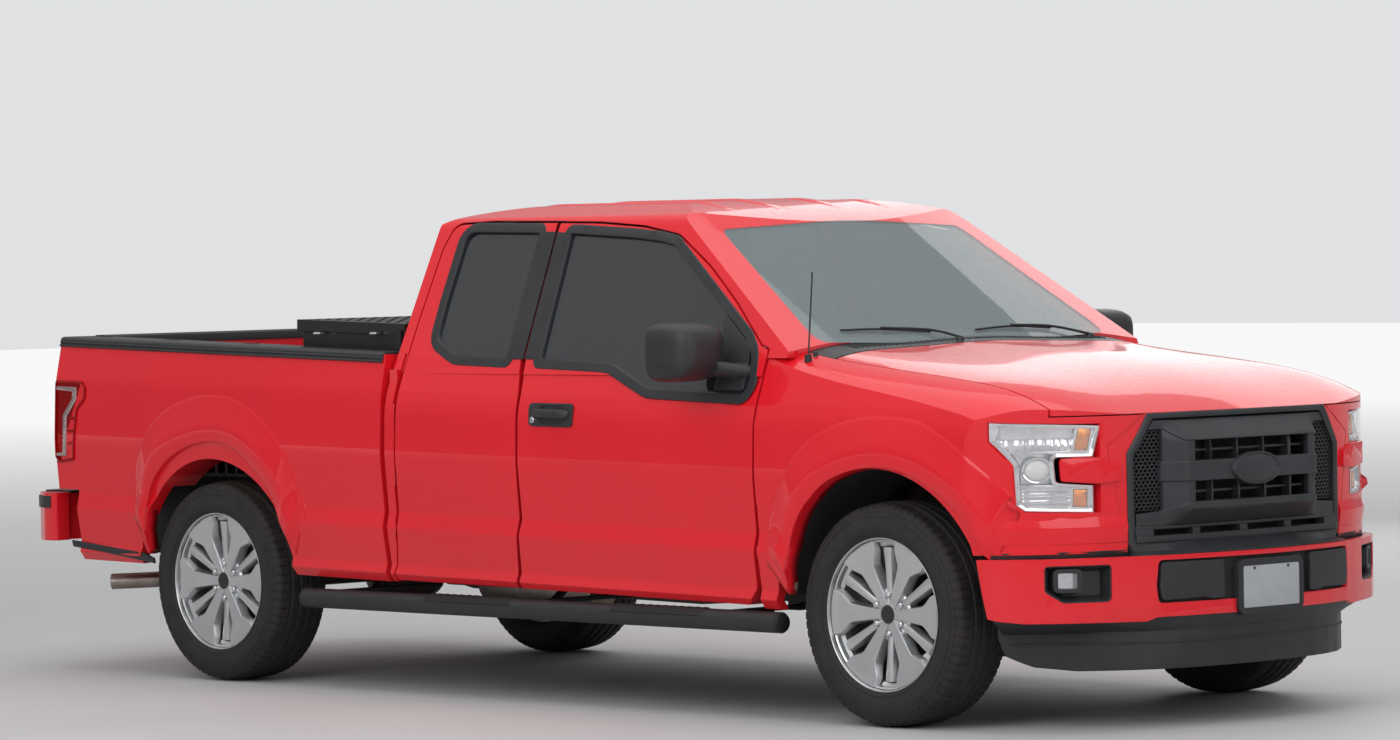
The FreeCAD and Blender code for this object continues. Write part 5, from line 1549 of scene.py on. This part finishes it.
class TRUCK_OT_sides(bpy.types.Operator):
    """Window seals, pillar trims, mirrors, door handles and step pads"""

    bl_idname = "truck.sides"
    bl_label = "Sides"

    def execute(self, context):
        width = sizes().seal_width
        for side, sign in SIDES:
            surface = flank(FLANK, sign)
            for place, window in (("front", FRONT_WINDOW), ("rear", REAR_WINDOW)):
                around = skinned((f"door_{place}_{side}",), sign)
                bm = bmesh.new()
                hole = rounded(window, 4)
                layered(bm, around, hole, [(-0.001, -0.014), (-width * 0.8, -0.002), (-width * 0.7, 0.003),
                        (0.001, 0.0035), (0.006, -0.004), (0.006, -0.014)], 0, 0.04)
                slab(bm, around, PILLAR_STRIPS[place], -0.003, 0.0028, 0, 0.001, 0.05, True)
                piece(f"window_trim_{place}_{side}", bm, "trim", f"{place}_door_{side}")
            self.mirror(side, sign, surface)
            self.handle(side, sign)
        self.steps()
        return {"FINISHED"}

    def mirror(self, side, sign, surface):
        """Sail in the window's corner, arm, rounded housing and the glass facing back."""
        bm = bmesh.new()
        sail = [(1.322, 1.176), (1.3, 1.34), (1.268, 1.352), (1.12, 1.452), (1.15, 1.32), (1.172, 1.176)]
        slab(bm, surface, even(sail, 0.01), -0.02, 0.004, 0, 0.003, 0.05, True)
        rings(bm, [[(x + half_x * math.cos(a), sign * y, z + half_z * math.sin(a)) for a in circle(20)]
                   for x, y, z, half_x, half_z in MIRROR_ARM])
        middle = sign * 1.098
        pod(bm, [
            (1.262, middle, 1.318, 0.04, 0.03), (1.256, middle, 1.318, 0.078, 0.06),
            (1.236, middle, 1.318, 0.103, 0.086), (1.205, middle, 1.317, 0.114, 0.099),
            (1.165, middle, 1.316, 0.1195, 0.105), (1.12, middle, 1.315, 0.1215, 0.107),
            (1.08, middle, 1.315, 0.1215, 0.107), (1.064, middle, 1.315, 0.12, 0.105),
            (1.062, middle, 1.315, 0.11, 0.095), (1.076, middle, 1.315, 0.107, 0.092),
        ], 0, 44)
        pod(bm, [(1.2, middle, 1.272, 0.1165, 0.0035), (1.15, middle, 1.272, 0.1225, 0.0035),
                 (1.082, middle, 1.272, 0.1235, 0.0035)], 0, 24)
        pod(bm, [(1.09, middle, 1.315, 0.104, 0.089), (1.07, middle, 1.315, 0.104, 0.089),
                 (1.0685, middle, 1.315, 0.101, 0.086)], 1, 44)
        piece(f"mirror_head_{side}", bm, ("trim", "mirror_glass"), f"front_door_{side}", 35,
              (f"mirror_{side}",))

    def handle(self, side, sign):
        """Bezel with a cupped recess, the grip and a lock."""
        surface = skinned((f"door_front_{side}",), sign)
        bm = bmesh.new()
        bezel = even([(0.2, 1.036), (0.44, 1.033), (0.44, 1.12), (0.2, 1.122)], 0.02, 4)
        cup = even([(0.262, 1.046), (0.398, 1.044), (0.398, 1.11), (0.262, 1.112)], 0.018, 4)
        slab(bm, surface, bezel, -0.004, 0.006, 0, 0.004, 0.05, True, (cup,))
        slab(bm, surface, shrunk(cup, -0.002), -0.003, 0.0012, 0, 0.0, 0.05, True)
        path = [(0.226, 1.085, 0.008), (0.246, 1.085, 0.018), (0.28, 1.084, 0.026), (0.33, 1.083, 0.029),
                (0.38, 1.082, 0.026), (0.41, 1.081, 0.018), (0.424, 1.081, 0.006)]
        loops = []
        for u, v, w in path:
            half = 0.016 if 0.24 < u < 0.415 else 0.011
            loops.append([surface(u, v + half * math.sin(a), w + 0.0075 * math.cos(a)) for a in circle(16)])
        rings(bm, loops)
        lock = [(0.012, 0.0), (0.012, 0.008), (0.01, 0.0095), (0.004, 0.0095)]
        dome(bm, surface, (0.222, 1.058), lock, 1, 20)
        piece(f"door_handle_{side}", bm, ("trim", "chrome"), f"front_door_{side}")

    def steps(self):
        """Ribbed treads on the step tubes and the brackets that carry them."""
        bm = bmesh.new()
        for _, sign in SIDES:
            for low, high in ((0.62, 1.12), (-0.42, 0.08)):
                rows = []
                for k, x in enumerate(along(low, high - low, 24)):
                    tuck = 0.0036 if k in (0, 24) else 0.0
                    proud = 0.0025 if k % 2 else 0.0
                    reach = 0.0405 + proud - tuck
                    ring = [(a, reach) for a in (20, 45, 70, 90, 110, 135, 160)] + [(160, 0.03), (20, 0.03)]
                    rows.append([(x, sign * STEP_Y + r * math.cos(math.radians(a)),
                                  STEP_Z + r * math.sin(math.radians(a))) for a, r in ring])
                rings(bm, rows)
            for x in (-0.95, 0.1, 1.25):
                tube(bm, [(x, sign * STEP_Y, 0.335), (x, sign * 0.9, 0.33), (x, sign * 0.82, 0.36),
                          (x, sign * 0.74, 0.42)], 0.016, 12, 1)
            for end, x in ((-1, -1.146), (1, 1.489)):
                rings(bm, [[(x + end * out, sign * STEP_Y + r * math.cos(a), STEP_Z + r * math.sin(a))
                            for a in circle(24)] for r, out in STEP_CAP])
        piece("step_treads", bm, ("rubber", "chassis"))


class TRUCK_OT_cowl(bpy.types.Operator):
    """Wipers, cowl grille, roof ribs and the antenna's foot"""

    bl_idname = "truck.cowl"
    bl_label = "Windscreen and roof"

    def execute(self, context):
        bm = bmesh.new()
        arms = (
            [(1.457, -0.624, 1.376), (1.482, -0.444, 1.375), (1.52, -0.223, 1.362), (1.591, -0.14, 1.334)],
            [(1.524, 0.011, 1.363), (1.509, 0.215, 1.37), (1.506, 0.437, 1.36), (1.549, 0.609, 1.326)],
        )
        for run in arms:
            line = [Vector(p) + Vector((0.006, 0, 0.012)) for p in run]
            tube(bm, curve_through(line[1:], 0.03), 0.005, 8, 0)
            lifts = ((0.004, 0, 0.006), (0.004, 0, 0.007), (0.002, 0, 0.006))
            blade = [Vector(place) + Vector(lift) for place, lift in zip(run, lifts)]
            tube(bm, curve_through(blade, 0.03), 0.0045, 6, 0)
            spindle = [(0.001, 0.016), (0.012, 0.015), (0.016, 0.008), (0.016, -0.02), (0.001, -0.02)]
            turned(bm, on_post(run[3], 1), spindle, 20, 0, False)
        piece("wipers", bm, "trim")

        bm = bmesh.new()
        for y in along(-0.66, 1.32, 45):
            spots = [(x, on_top(("cowl",), x, y)) for x in (1.505, 1.53, 1.555, 1.58)]
            if any(spot is None for _, spot in spots):
                continue
            line = [spot + Vector((0, 0, 0.001)) for _, spot in spots]
            tube(bm, line, 0.0032, 5, 0)
        piece("cowl_slats", bm, "trim")

        bm = bmesh.new()
        for y in (-0.42, -0.16, 0.16, 0.42):
            line = []
            for x in along(-0.43, 1.14, 22):
                spot = on_top(("roof",), x, y)
                if spot is not None:
                    line.append(spot)
            loops = []
            for i, spot in enumerate(line):
                rise = 0.0055 * min(1.0, i / 2.5, (len(line) - 1 - i) / 2.5)
                half = [(0.018, rise), (0.034, 0.0002), (0.04, -0.006)]
                section = [(-across, up) for across, up in reversed(half)] + half
                loops.append([spot + Vector((0, across, up)) for across, up in section])
            rings(bm, loops)
        piece("roof_ribs", bm, "paint", "truck", 50)

        bm = bmesh.new()
        foot = [(0.001, 0.03), (0.007, 0.028), (0.01, 0.012), (0.02, 0.004), (0.024, 0.0), (0.024, -0.012),
                (0.001, -0.012)]
        turned(bm, on_post((1.55, -0.842, 1.283), 1), foot, 24, 0, False)
        piece("antenna_foot", bm, "trim")
        return {"FINISHED"}


# Bed, tail, toolbox and the parts low down at the back.

RAIL_INSIDE = 0.765
RAIL_MIDDLE = 0.845
RAIL_SECTION = (
    # edge it hangs on (0 to 2 on the bed side from low to high, 3 at the inside), out, up
    (0, 0.0, -0.031), (0, 0.002, -0.028), (1, 0.001, -0.022), (1, -0.003, -0.02), (1, -0.003, -0.017),
    (1, 0.0, -0.015), (2, -0.001, -0.01), (2, -0.003, -0.008), (2, -0.003, -0.005), (2, -0.003, -0.003),
    (2, -0.01, 0.005), (2, -0.022, 0.008), (3, 0.02, 0.008), (3, 0.004, 0.004), (3, -0.002, -0.004),
    (3, -0.002, -0.03), (3, 0.002, -0.03), (3, 0.004, -0.002), (2, -0.03, -0.002), (2, -0.012, -0.008),
)

# A tread plate bar's outline, in parts of its half length and half width, at its foot and on its crest.
BAR_FOOT = ((1, 0), (0.5, 1), (-0.5, 1), (-1, 0), (-0.5, -1), (0.5, -1))
BAR_CREST = ((0.7, 0), (0.4, 0.5), (-0.4, 0.5), (-0.7, 0), (-0.4, -0.5), (0.4, -0.5))


def rail_top(x):
    """Height of the bed side's top edge."""
    return 1.297 + (1.353 - 1.297) * (-0.652 - x) / (2.617 - 0.652)


class TRUCK_OT_bed(bpy.types.Operator):
    """Rail caps, liner, tailgate cap and handle, tail lamp rims, bumper pads and tread plate"""

    bl_idname = "truck.bed"
    bl_label = "Bed and tail"

    def execute(self, context):
        for side, sign in SIDES:
            surface = skinned((f"bed_side_{side}", "tail_lights"), sign)
            bm = bmesh.new()
            loops = []
            node = f"bed_side_{side}"
            for x in along(-0.664, 0.664 - 2.69, 50):
                z = rail_top(x)
                edges = [on_side((node,), x, z - drop, sign).y + sign * 0.006 for drop in (0.03, 0.019, 0.012)]
                edges.append(sign * RAIL_INSIDE)
                loops.append([(x, edges[edge] + sign * out, z + up) for edge, out, up in RAIL_SECTION])
            rings(bm, loops)
            for x in (-1.62, -2.12, -2.56):
                z = rail_top(x) + 0.008
                block(bm, (x - 0.032, sign * RAIL_MIDDLE - 0.022, z - 0.003),
                      (x + 0.032, sign * RAIL_MIDDLE + 0.022, z + 0.003), 0, 0.003)
            piece(f"rail_cap_{side}", bm, "trim")

            bm = bmesh.new()
            path = [(-2.689, 1.187), (-2.512, 1.184), (-2.488, 1.16), (-2.49, 1.112), (-2.541, 1.066),
                    (-2.57, 0.862), (-2.66, 0.85), (-2.689, 0.872)]
            rim = even(path, 0.012)
            edge = [(0, -0.004), (0, 0.004), (0.004, 0.0065), (0.01, 0.005), (0.011, -0.004)]
            layered(bm, surface, rim, edge, 0, 0.04)
            band = [(-2.686, 1.163), (-2.551, 1.159), (-2.549, 1.109), (-2.611, 1.038), (-2.617, 0.88),
                    (-2.686, 0.876), (-2.686, 0.89), (-2.64, 0.893), (-2.636, 1.045), (-2.578, 1.112),
                    (-2.576, 1.141), (-2.686, 1.148)]
            slab(bm, surface, band, -0.003, 0.0045, 1, 0.002, 0.05)
            for z in (0.93, 0.98, 1.03):
                rib(bm, surface, [(-2.602, z), (-2.566, z + 0.003)], 0.012, 0.004, 0)
            piece(f"tail_lamp_rim_{side}", bm, ("red_lens", "pale_lens"), "truck", 30)

            bm = bmesh.new()
            cap = rounded([(sign * 0.8, 0.856, 0.01), (sign * 0.955, 0.858, 0.01), (sign * 0.95, 1.12, 0.02),
                           (sign * 0.925, 1.178, 0.02), (sign * 0.8, 1.178, 0.01)], 3)
            behind = facing_x(-2.722, -1)
            slab(bm, behind, cap, -0.01, 0.006, 0, 0.004)
            for low, high, index in ((0.872, 0.94, 0), (0.955, 1.015, 1), (1.03, 1.16, 0)):
                pane = oblong(sign * 0.812, low, sign * 0.938, high, 0.006, 3)
                slab(bm, behind, pane, 0.003, 0.01, index, 0.003)
            piece(f"tail_lamp_back_{side}", bm, ("red_lens", "pale_lens"), "truck", 30)

            bm = bmesh.new()
            for x in along(-1.46, -1.14, 18):
                rows = []
                for z in (0.815, 0.95, 1.1, 1.245):
                    rows.append([(x - 0.022, sign * 0.829, z), (x - 0.012, sign * 0.82, z),
                                (x + 0.012, sign * 0.82, z), (x + 0.022, sign * 0.829, z)])
                rings(bm, rows)
            low_y, high_y = sorted((sign * 0.8235, sign * 0.829))
            block(bm, (-2.628, low_y, 0.802), (-1.372, high_y, 1.268), 0)
            piece(f"bed_ribs_{side}", bm, "liner", "truck")

            bm = bmesh.new()
            low = [(-2.616, 0.534), (-2.166, 0.498), (-2.095, 0.476), (-2.089, 0.455), (-2.41, 0.492),
                   (-2.612, 0.508)]
            slab(bm, surface, low, -0.01, 0.003, 0, 0.002)
            piece(f"lower_strip_{side}", bm, "trim")

        bm = bmesh.new()
        loops = []
        for y in along(-0.786, 1.572, 40):
            loops.append([(x, y, z) for x, z in
                          ((-2.706, 1.322), (-2.707, 1.35), (-2.704, 1.36), (-2.694, 1.366), (-2.642, 1.366),
                           (-2.631, 1.36), (-2.628, 1.35), (-2.628, 1.33), (-2.632, 1.33), (-2.634, 1.354),
                           (-2.7, 1.354), (-2.702, 1.322))])
        rings(bm, loops)
        bezel = oblong(-0.135, 1.135, 0.135, 1.235, 0.02)
        cup = oblong(-0.105, 1.15, 0.105, 1.215, 0.018)
        behind = facing_x(-2.7, -1)
        slab(bm, behind, bezel, -0.004, 0.01, 0, 0.005, 0.05, True, (cup,))
        slab(bm, behind, shrunk(cup, -0.002), -0.003, 0.002, 0, 0.0, 0.05, True)
        tube(bm, [(-2.708, -0.1, 1.2), (-2.718, -0.085, 1.198), (-2.722, 0.0, 1.197), (-2.718, 0.085, 1.198),
                  (-2.708, 0.1, 1.2)], 0.01, 12, 0)
        for low, high in ((0.86, 0.875), (1.05, 1.065)):
            rib(bm, behind, [(-0.66, low), (0.66, low)], 0.012, 0.004, 1)
            rib(bm, behind, [(-0.66, high), (0.66, high)], 0.006, 0.003, 1)
        piece("tailgate_trim", bm, ("trim", "paint"), "tailgate")

        bm = bmesh.new()
        for side in (-1, 1):
            loops = []
            for x, y, wide in (
                (-2.735, 1.007, 0.0), (-2.77, 1.007, 0.0), (-2.8, 1.0, 0.4), (-2.865, 0.966, 0.5),
                (-2.892, 0.944, 0.7), (-2.911, 0.898, 0.9), (-2.927, 0.76, 1.0)):
                inner = (x + 0.03 * wide, side * (y - 0.03 * (1 - wide * 0.6)))
                loops.append([(x, side * y, 0.664), (x, side * y, 0.712), (*inner, 0.7145), (*inner, 0.662)])
            rings(bm, loops)
        loops = []
        for y in along(-0.9, 1.8, 60):
            x = -2.936 + 0.03 * (abs(y) / 0.9) ** 3
            loops.append([(x, y, 0.7245), (x + 0.004, y, 0.731), (-2.735, y, 0.731), (-2.735, y, 0.72)])
        rings(bm, loops)
        for y in along(-0.56, 1.12, 28):
            block(bm, (-2.9, y - 0.006, 0.73), (-2.78, y + 0.006, 0.7335), 0, 0.002)
        plate = oblong(-0.165, 0.555, 0.165, 0.69, 0.012)
        slab(bm, facing_x(-2.94, -1), plate, -0.01, 0.0015, 0, 0.001)
        piece("rear_bumper_pads", bm, ("trim", "plate"))

        bm = bmesh.new()
        tube(bm, [(-2.6, 0.0, 0.47), (-2.8, 0.0, 0.465), (-2.9, 0.0, 0.465)], 0.02, 16, 0)
        for y in (-0.42, 0.42):
            tube(bm, [(-2.6, y, 0.5), (-2.7, y, 0.52), (-2.8, y, 0.56)], 0.016, 10, 0)
        piece("hitch_stays", bm, "chassis", "truck")

        self.tread_plate()
        return {"FINISHED"}

    def tread_plate(self):
        """Raised bars and pads on the toolbox's lid, and the latches and rail clamps of the box."""
        pitch = sizes().plate_pitch
        bm = bmesh.new()
        rows = int(0.61 / pitch)
        lines = int(1.58 / pitch)
        for i in range(rows):
            for k in range(lines):
                x = -1.335 + pitch * (i + 0.5)
                y = -0.79 + pitch * (k + 0.5)
                turn = math.radians(45 if (i + k) % 2 else -45)
                spot = on_top(("toolbox_lid",), x, y)
                if spot is None:
                    continue
                c, s = math.cos(turn), math.sin(turn)
                long, short = pitch * 0.4, pitch * 0.11
                rings(bm, [
                    [(x + c * a * long - s * b * short, y + s * a * long + c * b * short, spot.z + rise)
                     for a, b in outline]
                    for outline, rise in ((BAR_FOOT, -0.0004), (BAR_CREST, 0.0016))
                ])
        for y in (-0.55, 0.55):
            block(bm, (-0.742, y - 0.05, 1.428), (-0.716, y + 0.05, 1.436), 0, 0.004)
        piece("lid_plate", bm, "black_plate", "toolbox_lid")

        bm = bmesh.new()
        for y in (-0.55, 0.55):
            block(bm, (-0.7125, y - 0.045, 1.25), (-0.705, y + 0.045, 1.36), 0, 0.002)
            block(bm, (-0.7125, y - 0.03, 1.28), (-0.7, y + 0.03, 1.325), 0, 0.003)
        for side in (-1, 1):
            for x in (-1.2, -0.86):
                block(bm, (x - 0.02, side * RAIL_MIDDLE - 0.012, 1.372),
                      (x + 0.02, side * RAIL_MIDDLE + 0.012, 1.38), 0, 0.003)
        piece("toolbox_latches", bm, "chrome", "truck")


# Cabin: padded seats, dashboard, door cards and steering wheel.

PAD_POWER = 5.0


def cushion(low, high, crown, lean, channels=0):
    """A rounded pad between two corners: crowned on its upper face, with sewn channels and leaned back."""
    low, high = Vector(low), Vector(high)
    half = (high - low) / 2
    centre = low + half
    turn = Matrix.Rotation(math.radians(lean), 4, "Y")
    thin = min(range(3), key=lambda i: half[i])
    first, second = (i for i in range(3) if i != thin)
    bm = bmesh.new()
    bmesh.ops.create_cube(bm, size=2.0)
    bmesh.ops.subdivide_edges(bm, edges=bm.edges[:], cuts=22, use_grid_fill=True)
    for vert in bm.verts:
        p = vert.co / sum(abs(c) ** PAD_POWER for c in vert.co) ** (1 / PAD_POWER)
        fall = (1 - p[first] ** 2) * (1 - p[second] ** 2)
        if abs(p[thin]) > 0.2:
            p[thin] += math.copysign(crown * fall / half[thin], p[thin])
        lane = (p.y * 0.5 + 0.5) * channels
        groove = abs(lane - round(lane))
        if groove < 0.08 and 0.5 < lane < channels - 0.5 and abs(p[thin]) > 0.5:
            p[thin] -= math.copysign((0.08 - groove) * 0.12, p[thin])
        vert.co = centre + turn @ (p * half)
    return bm


def pad(name, bm, stands_for=()):
    """A soft piece of a seat, with the share of its block that it fills."""
    piece(name, bm, "cloth", "truck", 60, stands_for)


class TRUCK_OT_cabin(bpy.types.Operator):
    """Seats, dashboard with its instruments, door cards and steering wheel"""

    bl_idname = "truck.cabin"
    bl_label = "Cabin"

    def execute(self, context):
        for side, sign in SIDES:
            near, far = sorted((sign * 0.075, sign * 0.685))
            middle = (near + far) / 2
            pad(f"front_cushion_{side}", cushion((0.262, near, 0.655), (0.772, far, 0.78), 0.012, -3, 3),
                ("front_seats",) if sign > 0 else ())
            pad(f"front_back_{side}", cushion((0.135, near, 0.735), (0.245, far, 1.315), 0.014, -8, 3))
            pad(f"head_rest_{side}",
                cushion((0.1, middle - 0.135, 1.335), (0.185, middle + 0.135, 1.5), 0.01, -6))
            bm = bmesh.new()
            for y in (middle - 0.06, middle + 0.06):
                tube(bm, [(0.15, y, 1.28), (0.145, y, 1.36)], 0.007, 10, 0)
            for x in (0.33, 0.68):
                block(bm, (x - 0.03, near + 0.06, 0.565), (x + 0.03, far - 0.06, 0.655), 1, 0.004)
            piece(f"seat_frame_{side}", bm, ("chrome", "rubber"), "truck")
        pad("rear_cushion", cushion((-0.515, -0.69, 0.655), (-0.075, 0.69, 0.775), 0.012, -3, 5),
            ("rear_seat",))
        pad("rear_back", cushion((-0.56, -0.69, 0.73), (-0.465, 0.69, 1.225), 0.01, -4, 5))

        self.dashboard()
        self.doors()
        self.wheel()
        return {"FINISHED"}

    def dashboard(self):
        """Hood over the dials, vents, screen, glovebox line and the pad along the screen."""
        bm = bmesh.new()
        section = [(1.402, 0.935), (1.402, 1.205), (1.37, 1.232), (1.29, 1.238), (1.225, 1.226), (1.192, 1.196),
                   (1.186, 1.15), (1.196, 1.11), (1.15, 1.03), (1.13, 0.99), (1.15, 0.95), (1.2, 0.935)]
        rings(bm, [[(x, y, z) for x, z in section] for y in (-0.785, -0.78, -0.4, 0.0, 0.4, 0.78, 0.785)])
        hood = []
        for k in range(13):
            a = math.pi * k / 12
            y, z = 0.38 + 0.185 * math.cos(a), 1.155 + 0.085 * math.sin(a)
            hood.append([(1.15, y, z), (1.158, y, z + 0.007), (1.3, y, z + 0.004), (1.3, y, z - 0.012),
                         (1.16, y, z - 0.01)])
        rings(bm, hood)
        dash = facing_x(1.186, -1)
        for u in (0.315, 0.445):
            dome(bm, dash, (u, 1.165), [(0.058, -0.01), (0.058, 0.004), (0.055, 0.006), (0.052, 0.003)], 1, 36)
            dome(bm, dash, (u, 1.165), [(0.01, 0.0), (0.01, 0.008), (0.006, 0.01)], 0, 16)
        slab(bm, dash, oblong(-0.13, 1.085, 0.11, 1.175, 0.01, 3), -0.02, 0.006, 1, 0.003)
        for u in (-0.7, -0.24, 0.18, 0.7):
            vent = oblong(u - 0.045, 1.115, u + 0.045, 1.185, 0.01, 3)
            layered(bm, dash, vent, [(0, -0.01), (0, 0.006), (0.008, 0.004), (0.008, -0.01)])
            for k in range(5):
                v = 1.126 + 0.012 * k
                slab(bm, dash, oblong(u - 0.037, v, u + 0.037, v + 0.004), -0.01, 0.001)

        def lower(u, v, w):
            return Vector((1.128 + (v - 0.99) * 0.55 - w, u, v))

        for u in (-0.09, 0.0, 0.09):
            dome(bm, lower, (u - 0.01, 1.035), [(0.024, -0.01), (0.024, 0.012), (0.02, 0.016), (0.01, 0.016)],
                 0, 24)
        glove = oblong(-0.66, 0.985, -0.27, 1.085, 0.015, 3)
        slab(bm, lower, glove, -0.01, 0.005, 0, 0.004, 0.05, True)
        piece("dashboard_face", bm, ("dash", "gloss_black"), "truck", 35, ("dashboard",))
        bm = bmesh.new()
        block(bm, (0.3, -0.058, 0.655), (0.72, 0.058, 0.79), 0, 0.012)
        tube(bm, [(1.02, 0.02, 0.6), (1.0, 0.02, 0.78), (0.97, 0.02, 0.84)], [0.01, 0.009, 0.022], 16, 1)
        piece("console", bm, ("dash", "rubber"), "truck")

    def doors(self):
        """Card, armrest, pull and speaker on the inside of each front door."""
        for side, sign in SIDES:

            def inner(u, v, w):
                return Vector((u, sign * (0.868 - max(v - 1.05, 0.0) * 0.16 - w), v))

            bm = bmesh.new()
            card = rounded([(0.2, 0.62, 0.04), (1.24, 0.62, 0.06), (1.24, 1.13, 0.05), (0.8, 1.15, 0.1),
                            (0.52, 1.225, 0.1), (0.2, 1.235, 0.03)], 4)
            slab(bm, inner, card, -0.006, 0.004, 0, 0.004, 0.08, True)
            rest = rounded([(0.3, 0.9, 0.03), (0.86, 0.915, 0.03), (0.9, 0.96, 0.02), (0.3, 0.965, 0.03)], 4)
            slab(bm, inner, rest, 0.0, 0.045, 1, 0.014, 0.08)
            dome(bm, inner, (1.06, 0.74), [(0.085, 0.0), (0.085, 0.01), (0.08, 0.013), (0.02, 0.009)], 1, 36)
            tube(bm, [inner(0.62, 1.04, 0.004), inner(0.6, 1.045, 0.028), inner(0.52, 1.05, 0.028),
                      inner(0.5, 1.05, 0.006)], 0.008, 10, 2)
            piece(f"door_card_{side}", bm, ("card", "dash", "chrome"), f"front_door_{side}")

    def wheel(self):
        """Wrapped rim, three spokes and a padded boss."""
        hub = Vector((0.985, 0.38, 1.115))
        turn = Matrix.Rotation(math.radians(-66), 4, "Y")
        place = Matrix.Translation(hub) @ turn
        bm = bmesh.new()
        rows = []
        for a in circle(72):
            row = []
            for b in circle(16):
                grip = 0.0148 + (0.0012 if math.sin(a * 2) ** 2 > 0.6 else 0.0)
                reach = 0.186 + grip * math.cos(b)
                row.append(place @ Vector((reach * math.cos(a), reach * math.sin(a), grip * math.sin(b))))
            rows.append(row)
        grid(bm, rows, 0)
        for a in (0.0, 130.0, 230.0):
            c, s = math.cos(math.radians(a)), math.sin(math.radians(a))
            loops = []
            for r, w, h in ((0.045, 0.03, -0.016), (0.1135, 0.0207, -0.01), (0.182, 0.016, 0.0)):
                loops.append([place @ Vector((c * r - s * o, s * r + c * o, h + t)) for o, t in
                              ((-w, -0.005), (w, -0.005), (w * 0.8, 0.006), (-w * 0.8, 0.006))])
            rings(bm, loops)
        loops = []
        for r, h in (
            (0.05, -0.03), (0.066, -0.022), (0.068, -0.006), (0.06, 0.006), (0.035, 0.012), (0.012, 0.013)):
            loops.append([place @ Vector((r * math.copysign(abs(math.cos(a)) ** 0.8, math.cos(a)),
                                          r * 1.15 * math.copysign(abs(math.sin(a)) ** 0.8, math.sin(a)), h))
                          for a in circle(36)])
        rings(bm, loops)
        piece("steering_wheel_rim", bm, "leather", "steering_wheel", 40, ("steering_wheel",))


class TRUCK_PT_dresser(bpy.types.Panel):
    """Pieces of the truck"""

    bl_idname = "TRUCK_PT_dresser"
    bl_label = "Pickup truck"
    bl_space_type = "VIEW_3D"
    bl_region_type = "UI"
    bl_category = "Truck"

    def draw(self, context):
        column = self.layout.column()
        for operator in OPERATORS:
            column.operator(operator.bl_idname)
        for group in (context.scene.truck_sizes, context.scene.truck_colours):
            for name in group.bl_rna.properties.keys():
                if name not in ("rna_type", "name"):
                    column.prop(group, name)


OPERATORS = (
    TRUCK_OT_stage,
    TRUCK_OT_bodywork,
    TRUCK_OT_wheels,
    TRUCK_OT_arches,
    TRUCK_OT_front,
    TRUCK_OT_sides,
    TRUCK_OT_cowl,
    TRUCK_OT_bed,
    TRUCK_OT_cabin,
)
CLASSES = (TruckSizes, TruckColours, *OPERATORS, TRUCK_PT_dresser)


def register():
    for cls in CLASSES:
        bpy.utils.register_class(cls)
    bpy.types.Scene.truck_sizes = bpy.props.PointerProperty(type=TruckSizes)
    bpy.types.Scene.truck_colours = bpy.props.PointerProperty(type=TruckColours)


def unregister():
    del bpy.types.Scene.truck_colours
    del bpy.types.Scene.truck_sizes
    for cls in reversed(CLASSES):
        bpy.utils.unregister_class(cls)


def main():
    register()
    for operator in OPERATORS:
        getattr(bpy.ops.truck, operator.bl_idname.split(".")[1])()


if __name__ == "__main__":
    main()
